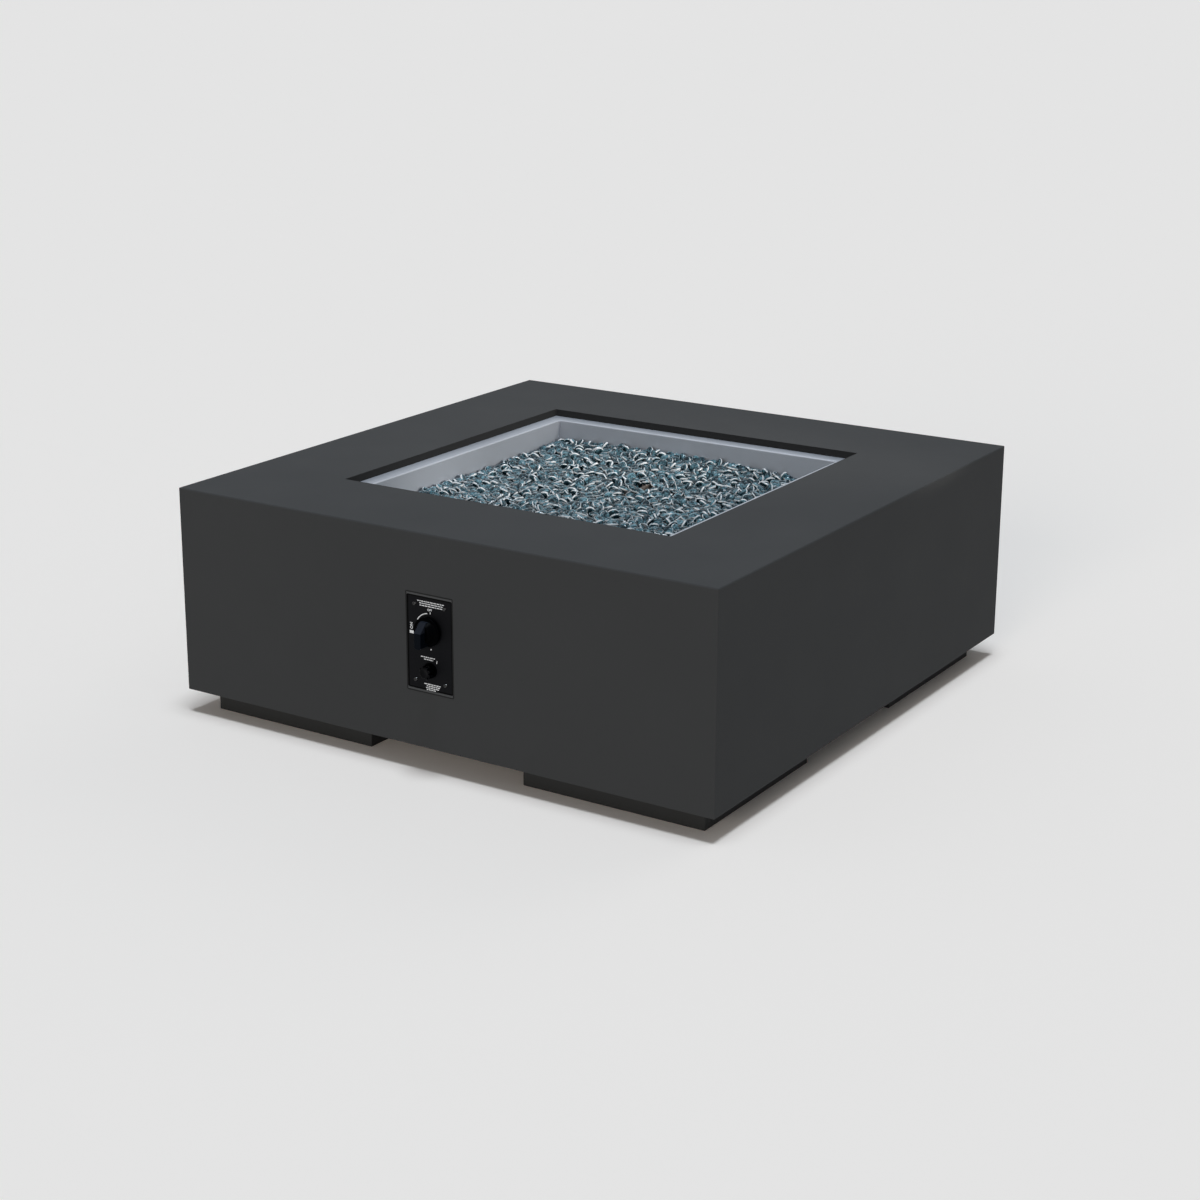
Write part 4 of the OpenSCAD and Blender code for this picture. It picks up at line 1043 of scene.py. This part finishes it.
    def cap(self) -> None:
        """The lobed cap of the igniter, on its plunger."""
        shape = turned(self.cap_profile, 160)
        for vert in shape.verts:
            radius = math.hypot(vert.co.x, vert.co.y)
            if radius > self.lobe_root:
                turn = math.atan2(vert.co.y, vert.co.x)
                notch = max(0.0, math.cos(self.lobes * turn)) ** self.lobe_form
                share = (radius - self.lobe_root) / self.lobe_reach
                vert.co.xy = vert.co.xy * (1.0 - self.lobe_depth * notch * share)
        bmesh.ops.transform(shape, matrix=on_panel(self.igniter_height), verts=shape.verts)
        add_piece("igniter_lobed_cap", shape, Body.CAP, CAP_PLASTIC, ("igniter_button",), 50.0)

    def raised(self, shape: Shape) -> Shape:
        """A flat mark in the panel's plane with the print's thickness added.

        Args:
            shape: The mark's faces, at local height 0.

        Returns:
            The same shape.
        """
        bmesh.ops.translate(shape, vec=(0, 0, self.ink_rise), verts=extruded(shape))
        bmesh.ops.recalc_face_normals(shape, faces=shape.faces)
        return shape

    def bar(self, x: float, z: float, width: float, height: float, turn: float = 0.0) -> Shape:
        """A small printed bar.

        Args:
            x: Its middle, in millimetres from the middle line.
            z: Its middle above the surround's bottom edge.
            width: Its width, in millimetres.
            height: Its height.
            turn: How far it is turned, in degrees.

        Returns:
            Its raised mesh.
        """
        shape = bmesh.new()
        bmesh.ops.create_grid(shape, x_segments=1, y_segments=1, size=0.5)
        bmesh.ops.scale(shape, vec=(width * MM, height * MM, 1), verts=shape.verts)
        bmesh.ops.rotate(shape, cent=(0, 0, 0), matrix=Matrix.Rotation(math.radians(turn), 3, "Z"),
                         verts=shape.verts)
        bmesh.ops.translate(shape, vec=(x * MM, z * MM, 0), verts=shape.verts)
        return self.raised(shape)

    def word(self, text: str, x: float, z: float, size: float, turn: float = 0.0) -> Shape:
        """A short word in the plain built-in letters.

        Args:
            text: ON or OFF.
            x: Its middle, in millimetres from the middle line.
            z: Its middle above the surround's bottom edge.
            size: The letters' size, in millimetres.
            turn: How far it is turned, in degrees.

        Returns:
            Its raised mesh.
        """
        curve = bpy.data.curves.new(text, "FONT")
        curve.body = text
        curve.size = size * MM
        curve.align_x, curve.align_y = "CENTER", "CENTER"
        curve.offset = self.letter_weight
        shape = curve_shape(curve, LETTER_WELD)
        place = Matrix.Translation((x * MM, z * MM, 0)) @ Matrix.Rotation(math.radians(turn), 4, "Z")
        bmesh.ops.transform(shape, matrix=place, verts=shape.verts)
        return self.raised(shape)

    def arc(self) -> Shape:
        """The curved mark that leads from OFF round to ON.

        Returns:
            Its raised mesh.
        """
        start, run = (math.radians(angle) for angle in self.arc_turn)
        shape = bmesh.new()
        inner, outer = (shape.verts.new((radius, 0, 0)) for radius in self.arc_radii)
        edge = shape.edges.new((inner, outer))
        bmesh.ops.rotate(shape, cent=(0, 0, 0), matrix=Matrix.Rotation(start, 3, "Z"), verts=shape.verts)
        bmesh.ops.spin(shape, geom=[inner, outer, edge], cent=(0, 0, 0), axis=(0, 0, 1), dvec=(0, 0, 0),
                       angle=run, steps=18, use_merge=False, use_duplicate=False)
        bmesh.ops.translate(shape, vec=(0, self.valve_height - self.body_bottom, 0), verts=shape.verts)
        return self.raised(shape)

    def dot(self) -> Shape:
        """The round mark below the knob.

        Returns:
            Its raised mesh.
        """
        shape = bmesh.new()
        bmesh.ops.create_circle(shape, cap_ends=True, segments=20, radius=self.dot_radius)
        bmesh.ops.translate(shape, vec=(*self.dot_place, 0), verts=shape.verts)
        return self.raised(shape)

    def print_marks(self) -> None:
        """All the print: dashes, the arc, the dot, OFF and ON and the small bars."""
        rng = random.Random(self.seed)
        marks = bmesh.new()
        for line in self.lines:
            x = line.left
            while x < line.right - self.dash_gap:
                width = min(rng.uniform(*self.dash), line.right - x)
                absorb(marks, self.bar(x + width / 2, line.height, width, self.dash_height))
                x += width + self.dash_gap
        under_off, after_on, tick = (self.bar(*bar) for bar in self.bars)
        for mark in (self.arc(), self.dot(), self.word("OFF", 0.5, 239.6, 5.2), under_off,
                     self.word("ON", -36.6, 207.4, 7.2, 90.0), after_on, tick):
            absorb(marks, mark)
        bmesh.ops.transform(marks, matrix=on_panel(self.body_bottom), verts=marks.verts)
        add_piece("panel_print", marks, Body.TABLE, INK)

    def build(self) -> None:
        """Makes the pieces of the panel."""
        self.knob()
        self.cap()
        self.print_marks()


# Hoses, leads and springs


@dataclass
class RoundLine:
    """A hose, lead, wire or spring along the points that the CAD source routes it by.

    Attributes:
        name: The piece's name.
        points: The route, in millimetres.
        diameter: The line's diameter, in millimetres.
        finish: Its material.
        slot: The record's material slot; not used.
        node: The CAD node that it replaces.
        body: The body that it rides on.
        steps: Points between two of the route's points, or 0 to take the route as it is.
        pressed_by: The joint meant to shorten it, or nothing; a line with one gets a mesh of its own.
        fixed_end: The end that it would shorten towards, along Y in metres; not used.
        pressed_to: Its share of the length that would be left at the joint's limit; not used.
    """

    name: str
    points: Sequence[Point]
    diameter: float
    finish: Finish
    slot: str
    node: str
    body: Body = Body.TABLE
    steps: int = 6
    pressed_by: str = ""
    fixed_end: float = 0.0
    pressed_to: float = 1.0

    def smooth(self) -> list[Vector]:
        """The route as the CAD source curves it, with finer steps and straight ends.

        Returns:
            The points of the finer route.
        """
        route = [Vector(point) for point in self.points]
        if not self.steps:
            return route
        found = [route[0]]
        for i in range(1, len(route) - 2):
            a, b, c, d = route[i - 1:i + 3]
            for k in range(self.steps):
                t = k / self.steps
                found.append((2 * b + (c - a) * t + (2 * a - 5 * b + 4 * c - d) * t * t
                              + (3 * b - a - 3 * c + d) * t * t * t) / 2)
        return found + route[-2:]

    def build(self) -> None:
        """Sweeps a round section along the route and closes its ends."""
        path = self.smooth()
        curve = bpy.data.curves.new(self.name, "CURVE")
        curve.dimensions = "3D"
        curve.bevel_depth = self.diameter / 2 * MM
        curve.bevel_resolution = 4
        curve.use_fill_caps = True
        spline = curve.splines.new("POLY")
        spline.points.add(len(path) - 1)
        for target, source in zip(spline.points, path):
            target.co = (*(source * MM), 1.0)
        shape = curve_shape(curve, WELD)
        bmesh.ops.recalc_face_normals(shape, faces=shape.faces)
        piece = add_piece(self.name, shape, self.body, self.finish, (self.node,), 60.0)
        if self.pressed_by:
            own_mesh(piece)


def coil(radius: float, first: float, last: float, turns: int, height: float) -> list[Point]:
    """The points of a spring whose axis runs into the body.

    Args:
        radius: From the axis to the wire's middle, in millimetres.
        first: The depth of its front end behind the plate's face.
        last: The depth of its rear end.
        turns: How many turns it has.
        height: The height of its axis.

    Returns:
        Its points, 24 for each turn.
    """
    steps = turns * 24
    return [(radius * math.cos(math.tau * i / 24),
             1000 * ControlPanel.face + first + (last - first) * i / steps,
             height + radius * math.sin(math.tau * i / 24)) for i in range(steps + 1)]


@dataclass
class GasLine:
    """The hoses, leads and springs, which the CAD model holds as faceted solids."""

    def build(self) -> None:
        """Makes each of them."""
        lines = (
            RoundLine("gas_hose_to_burner", (
                (20, -478.5, 259.8), (20, -466.5, 259.8), (20, -430.5, 257.8), (18, -370.5, 235.8),
                (12, -290, 185.5), (6, -210, 137.5), (2, -130, 103.5), (0, -70, 91.5), (0, -22, 107.5),
                (0, -2, 139.5), (0, 0, 165.5), (0, 0, 177.5)), 12, HOSE_RUBBER, "hose_rubber", "burner_hose"),
            RoundLine("gas_hose_to_valve", (
                (-62, -380, 133), (-62, -380, 145), (-62, -378, 167), (-60, -376.5, 197.8),
                (-53, -381.5, 229.8), (-40, -400.5, 253.8), (-27, -434.5, 262.8), (-20, -466.5, 259.8),
                (-20, -478.5, 259.8)), 12, HOSE_RUBBER, "hose_rubber", "inlet_hose"),
            RoundLine("copper_lead", (
                (0, -466.5, 245.8), (0, -460.5, 245.8), (0, -420.5, 245.8), (2, -360.5, 249.8),
                (20, -310.5, 249.8), (46.4, -249.67, 243.5), (56.4, -149.67, 235.5), (54.4, -49.67, 235.5),
                (44.4, 30.33, 245.5), (24.4, 75.33, 270.5), (24.4, 75.33, 279.5)), 3, COPPER, "probe_alloy",
                "thermocouple_lead"),
            RoundLine("ignition_wire", (
                (0, -441.5, 178), (0, -433.5, 178), (-8, -399.5, 182), (-24, -329.5, 206),
                (-29.6, -240.33, 231.5), (-17.6, -150.33, 245.5), (14.4, -70.33, 251.5),
                (36.4, -10.33, 251.5), (24.4, 49.67, 267.5), (24.4, 49.67, 275.5)), 4, WIRE_JACKET,
                "wire_jacket", "spark_wire"),
            RoundLine("valve_return_spring", coil(5.27, -2.3, 9.5, 5, 245.8), 1.0, SPRING_STEEL,
                      "bright_steel", "stem_spring", Body.KNOB, 0, "knob_push", -0.5353, 0.72),
            RoundLine("igniter_return_spring", coil(4.73, 3.6, 11.0, 4, 178.0), 0.88, SPRING_STEEL,
                      "bright_steel", "button_spring", Body.TABLE, 0, "igniter_push", -0.5211, 0.63),
        )
        for line in lines:
            line.build()


# The rest of the assembly


@dataclass
class FrameDresser:
    """Gives the CAD nodes that stay in view their finishes."""

    def build(self) -> None:
        """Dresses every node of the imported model."""
        finishes: dict[Finish, tuple[str, ...]] = {
            CAST_BODY: ("surround",),
            CAST_PADS: ("foot_front_left", "foot_front_right", "foot_rear_left", "foot_rear_right"),
            ZINC: ("foot_bolts", "foot_nuts", "frame_bolts", "burner_locknut", "hood_screws", "probe_nuts",
                   "shield_screws", "box_screws", "valve_nut"),
            PRIMED_STEEL: ("base_frame",),
            BRASS: ("wall_inserts", "orifice_fitting", "shield_spacers", "inlet_fitting", "inlet_nut",
                    "flare_nuts", "magnet_unit"),
            PAN_STEEL: ("burner_pan",),
            BURNER_STEEL: ("burner_ring", "electrode_rod"),
            MIXER_METAL: ("air_mixer",),
            HOOD_STEEL: ("pilot_hood",),
            DEEP_BED: ("fire_glass",),
            CERAMIC: ("electrode_insulator",),
            COPPER: ("thermocouple", "thermocouple_lead"),
            WIRE_JACKET: ("spark_wire",),
            SHIELD_SHEET: ("heat_shield",),
            BOX_COAT: ("control_box",),
            BEZEL_COAT: ("control_bezel",),
            PLATE_COAT: ("control_plate",),
            SCREW_COAT: ("plate_screws",),
            SKIRT_PLASTIC: ("control_knob", "igniter_body", "igniter_nut", "igniter_button"),
            FORGED_BRASS: ("valve_body", "valve_cover", "valve_plug"),
            SPRING_STEEL: ("valve_stem", "stem_spring", "button_spring"),
            BATTERY: ("battery",),
            HOSE_RUBBER: ("inlet_hose", "burner_hose"),
        }
        for finish, names in finishes.items():
            for name in names:
                WARDROBE.dress(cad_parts[name], finish)
        LOG.info("dressed %d of %d CAD nodes", sum(map(len, finishes.values())), len(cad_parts))


# Camera, light and floor


def towards(azimuth: float, elevation: float) -> Vector:
    """The direction from the table to a place, by its turn from the front to the right and its height."""
    a, e = math.radians(azimuth), math.radians(elevation)
    return Vector((math.sin(a) * math.cos(e), -math.cos(a) * math.cos(e), math.sin(e)))


@dataclass
class PhotoCamera:
    """The camera that took the photograph, found from the table's own corners.

    Attributes:
        place: Where it stands, in metres.
        azimuth: Its turn round the table, in degrees.
        elevation: Its height above the horizon as an angle.
        roll: Its turn about its own axis.
        sensor: The sensor's width, in millimetres.
        lens: The focal length, in millimetres.
        shift: The lens shift, as shares of the frame.
    """

    place: Point = (2.0848, -3.2846, 1.3900)
    azimuth: float = 32.886
    elevation: float = 16.069
    roll: float = 0.120
    sensor: float = 36.0
    lens: float = 67.40
    shift: Span = (0.0093, -0.0497)

    def build(self) -> None:
        """Makes the camera and makes it the scene's."""
        back = towards(self.azimuth, self.elevation)
        right = Vector((0, 0, 1)).cross(back).normalized()
        up = back.cross(right)
        r = math.radians(self.roll)
        side = right * math.cos(r) + up * math.sin(r)
        above = up * math.cos(r) - right * math.sin(r)
        camera = bpy.data.cameras.new("photo_camera")
        camera.sensor_width = self.sensor
        camera.lens = self.lens
        camera.shift_x, camera.shift_y = self.shift
        holder = placed("photo_camera", camera)
        turn = Matrix((side, above, back)).transposed().to_4x4()
        holder.matrix_world = Matrix.Translation(self.place) @ turn
        bpy.context.scene.camera = holder


def hang(light: bpy.types.Light, tint: Colour, place: Point, away: Vector) -> bpy.types.Object:
    """Hangs a lamp in the scene.

    Args:
        light: Its light.
        tint: Its colour.
        place: Where it hangs.
        away: The direction from what it lights to the lamp.

    Returns:
        The lamp.
    """
    light.color = tint
    holder = placed(light.name, light)
    holder.location = place
    holder.rotation_euler = away.to_track_quat("Z", "Y").to_euler()
    return holder


@dataclass(frozen=True)
class Lamp:
    """A far, soft lamp.

    Attributes:
        name: Its name.
        azimuth: Its turn round the table from the front towards the right, in degrees.
        elevation: Its height as an angle.
        level: What it adds to a level floor, where 1 shows a colour as it is written.
        tint: Its colour.
        softness: Its width as an angle, in degrees.
        distance: How far away its holder stands, in metres. The light doesn't depend on it.
    """

    name: str
    azimuth: float
    elevation: float
    level: float
    tint: Colour
    softness: float
    distance: float = 6.0

    def build(self) -> None:
        """Makes the lamp."""
        light = bpy.data.lights.new(self.name, "SUN")
        light.energy = self.level * math.pi / math.sin(math.radians(self.elevation))
        light.angle = math.radians(self.softness)
        away = towards(self.azimuth, self.elevation)
        hang(light, self.tint, away * self.distance, away)


@dataclass(frozen=True)
class NearLamp:
    """A lamp close to the table, whose cone stays on the pan.

    Attributes:
        name: Its name.
        place: Where it stands, in metres.
        aim: The point that it lights.
        level: What it adds to a surface that faces it at that point.
        tint: Its colour.
        cone: The width of its cone, in degrees.
        flatness: The height of its cone, as a share of the width.
        fade: The share of the cone in which its light fades out.
        radius: The radius of its glass, in metres.
    """

    name: str
    place: Point
    aim: Point
    level: float
    tint: Colour
    cone: float = 40.0
    flatness: float = 0.32
    fade: float = 0.6
    radius: float = 0.10

    def build(self) -> None:
        """Makes the lamp."""
        away = Vector(self.place) - Vector(self.aim)
        light = bpy.data.lights.new(self.name, "SPOT")
        light.energy = self.level * math.pi * 4 * math.pi * away.length_squared
        light.spot_size = math.radians(self.cone)
        light.spot_blend = self.fade
        light.shadow_soft_size = self.radius
        hang(light, self.tint, self.place, away).scale = (1.0, self.flatness, 1.0)


@dataclass
class Studio:
    """A plain pale studio: one tone for floor and background, and soft light.

    Attributes:
        paper: The background's colour in linear light.
        sky_level: How bright the surroundings light the table.
        sky_tint: Their colour.
        floor_bounce: The floor's colour for the light that it throws back.
        floor_half: Half of the floor's width, in metres.
        lamps: The far lamps.
        pan_lamp: The lamp that lights the pan's left wall.
    """

    paper: float = 0.7758
    sky_level: float = 0.15
    sky_tint: Colour = (0.90, 1.0, 1.10)
    floor_bounce: Colour = (0.92, 0.86, 0.80)
    floor_half: float = 150.0
    lamps: tuple[Lamp, ...] = (
        Lamp("overhead", 50.0, 86.0, 0.545, (0.89, 1.0, 1.12), 16.0),
        Lamp("front_card", 8.0, 16.0, 0.066, (1.05, 1.0, 0.95), 24.0),
        Lamp("back_card", 165.0, 35.0, 0.02, (1.0, 1.0, 1.0), 30.0),
    )
    pan_lamp: NearLamp = NearLamp("pan_lamp", (0.95, 0.36, 0.60), (-0.302, 0.10, 0.370), 0.50,
                                  (1.04, 1.0, 0.94))

    def floor_light(self) -> Colour:
        """What the lamps and the surroundings add up to on an open floor, for each colour."""
        return tuple(self.sky_level * self.sky_tint[k] + sum(lamp.level * lamp.tint[k] for lamp in self.lamps)
                     for k in range(3))

    def seen(self, tree: bpy.types.NodeTree) -> Socket:
        """1 for rays that show the surroundings, directly or in metal and glass.

        Args:
            tree: The node tree that needs it.

        Returns:
            The value's socket.
        """
        rays = add_node(tree, "LightPath").outputs
        value = rays["Is Camera Ray"]
        for name in ("Is Glossy Ray", "Is Transmission Ray"):
            value = calculate(tree, "MAXIMUM", value, rays[name])
        return value

    def world(self) -> None:
        """The surroundings: the paper's tone where they show, and a tinted level where they light."""
        world = bpy.data.worlds.new("studio")
        world.use_nodes = True
        bpy.context.scene.world = world
        tree = world.node_tree
        tree.nodes.clear()
        lit = add_node(tree, "Background", Color=(*self.sky_tint, 1.0), Strength=self.sky_level)
        shown = add_node(tree, "Background", Color=(self.paper, self.paper, self.paper, 1.0))
        mix = add_node(tree, "MixShader", ((0, self.seen(tree)), (1, lit.outputs[0]), (2, shown.outputs[0])))
        add_node(tree, "OutputWorld", (("Surface", mix.outputs["Shader"]),))

    def floor(self) -> None:
        """A large matt floor that keeps the table's shadow."""
        shape = bmesh.new()
        bmesh.ops.create_grid(shape, x_segments=1, y_segments=1, size=self.floor_half)
        floor = placed("studio_floor", mesh_of("studio_floor", shape))
        material = bpy.data.materials.new("paper")
        material.use_nodes = True
        tree = material.node_tree
        tree.nodes.clear()
        tone = add_node(tree, "Mix", ((0, self.seen(tree)),))
        tone.data_type = "RGBA"
        bounce, shown = (socket for socket in tone.inputs if socket.type == "RGBA")
        bounce.default_value = (*self.floor_bounce, 1.0)
        shown.default_value = (*(self.paper / level for level in self.floor_light()), 1.0)
        mixed = next(socket for socket in tone.outputs if socket.type == "RGBA")
        plain = add_node(tree, "BsdfDiffuse", (("Color", mixed),))
        add_node(tree, "OutputMaterial", (("Surface", plain.outputs["BSDF"]),))
        floor.data.materials.append(material)

    def build(self) -> None:
        """Makes the floor, the surroundings and the lamps."""
        self.world()
        self.floor()
        for lamp in (*self.lamps, self.pan_lamp):
            lamp.build()
        bpy.context.scene.view_settings.view_transform = "Standard"


def main() -> None:
    """Builds the studio, then dresses the table piece by piece."""
    logging.basicConfig(level=logging.INFO, format="%(name)s: %(message)s")
    for part in (PhotoCamera(), Studio(), FrameDresser(), GasLine(), ControlPanel(), BeadHeap()):
        part.build()
        LOG.info("built %s", type(part).__name__)


if __name__ == "__main__":
    main()
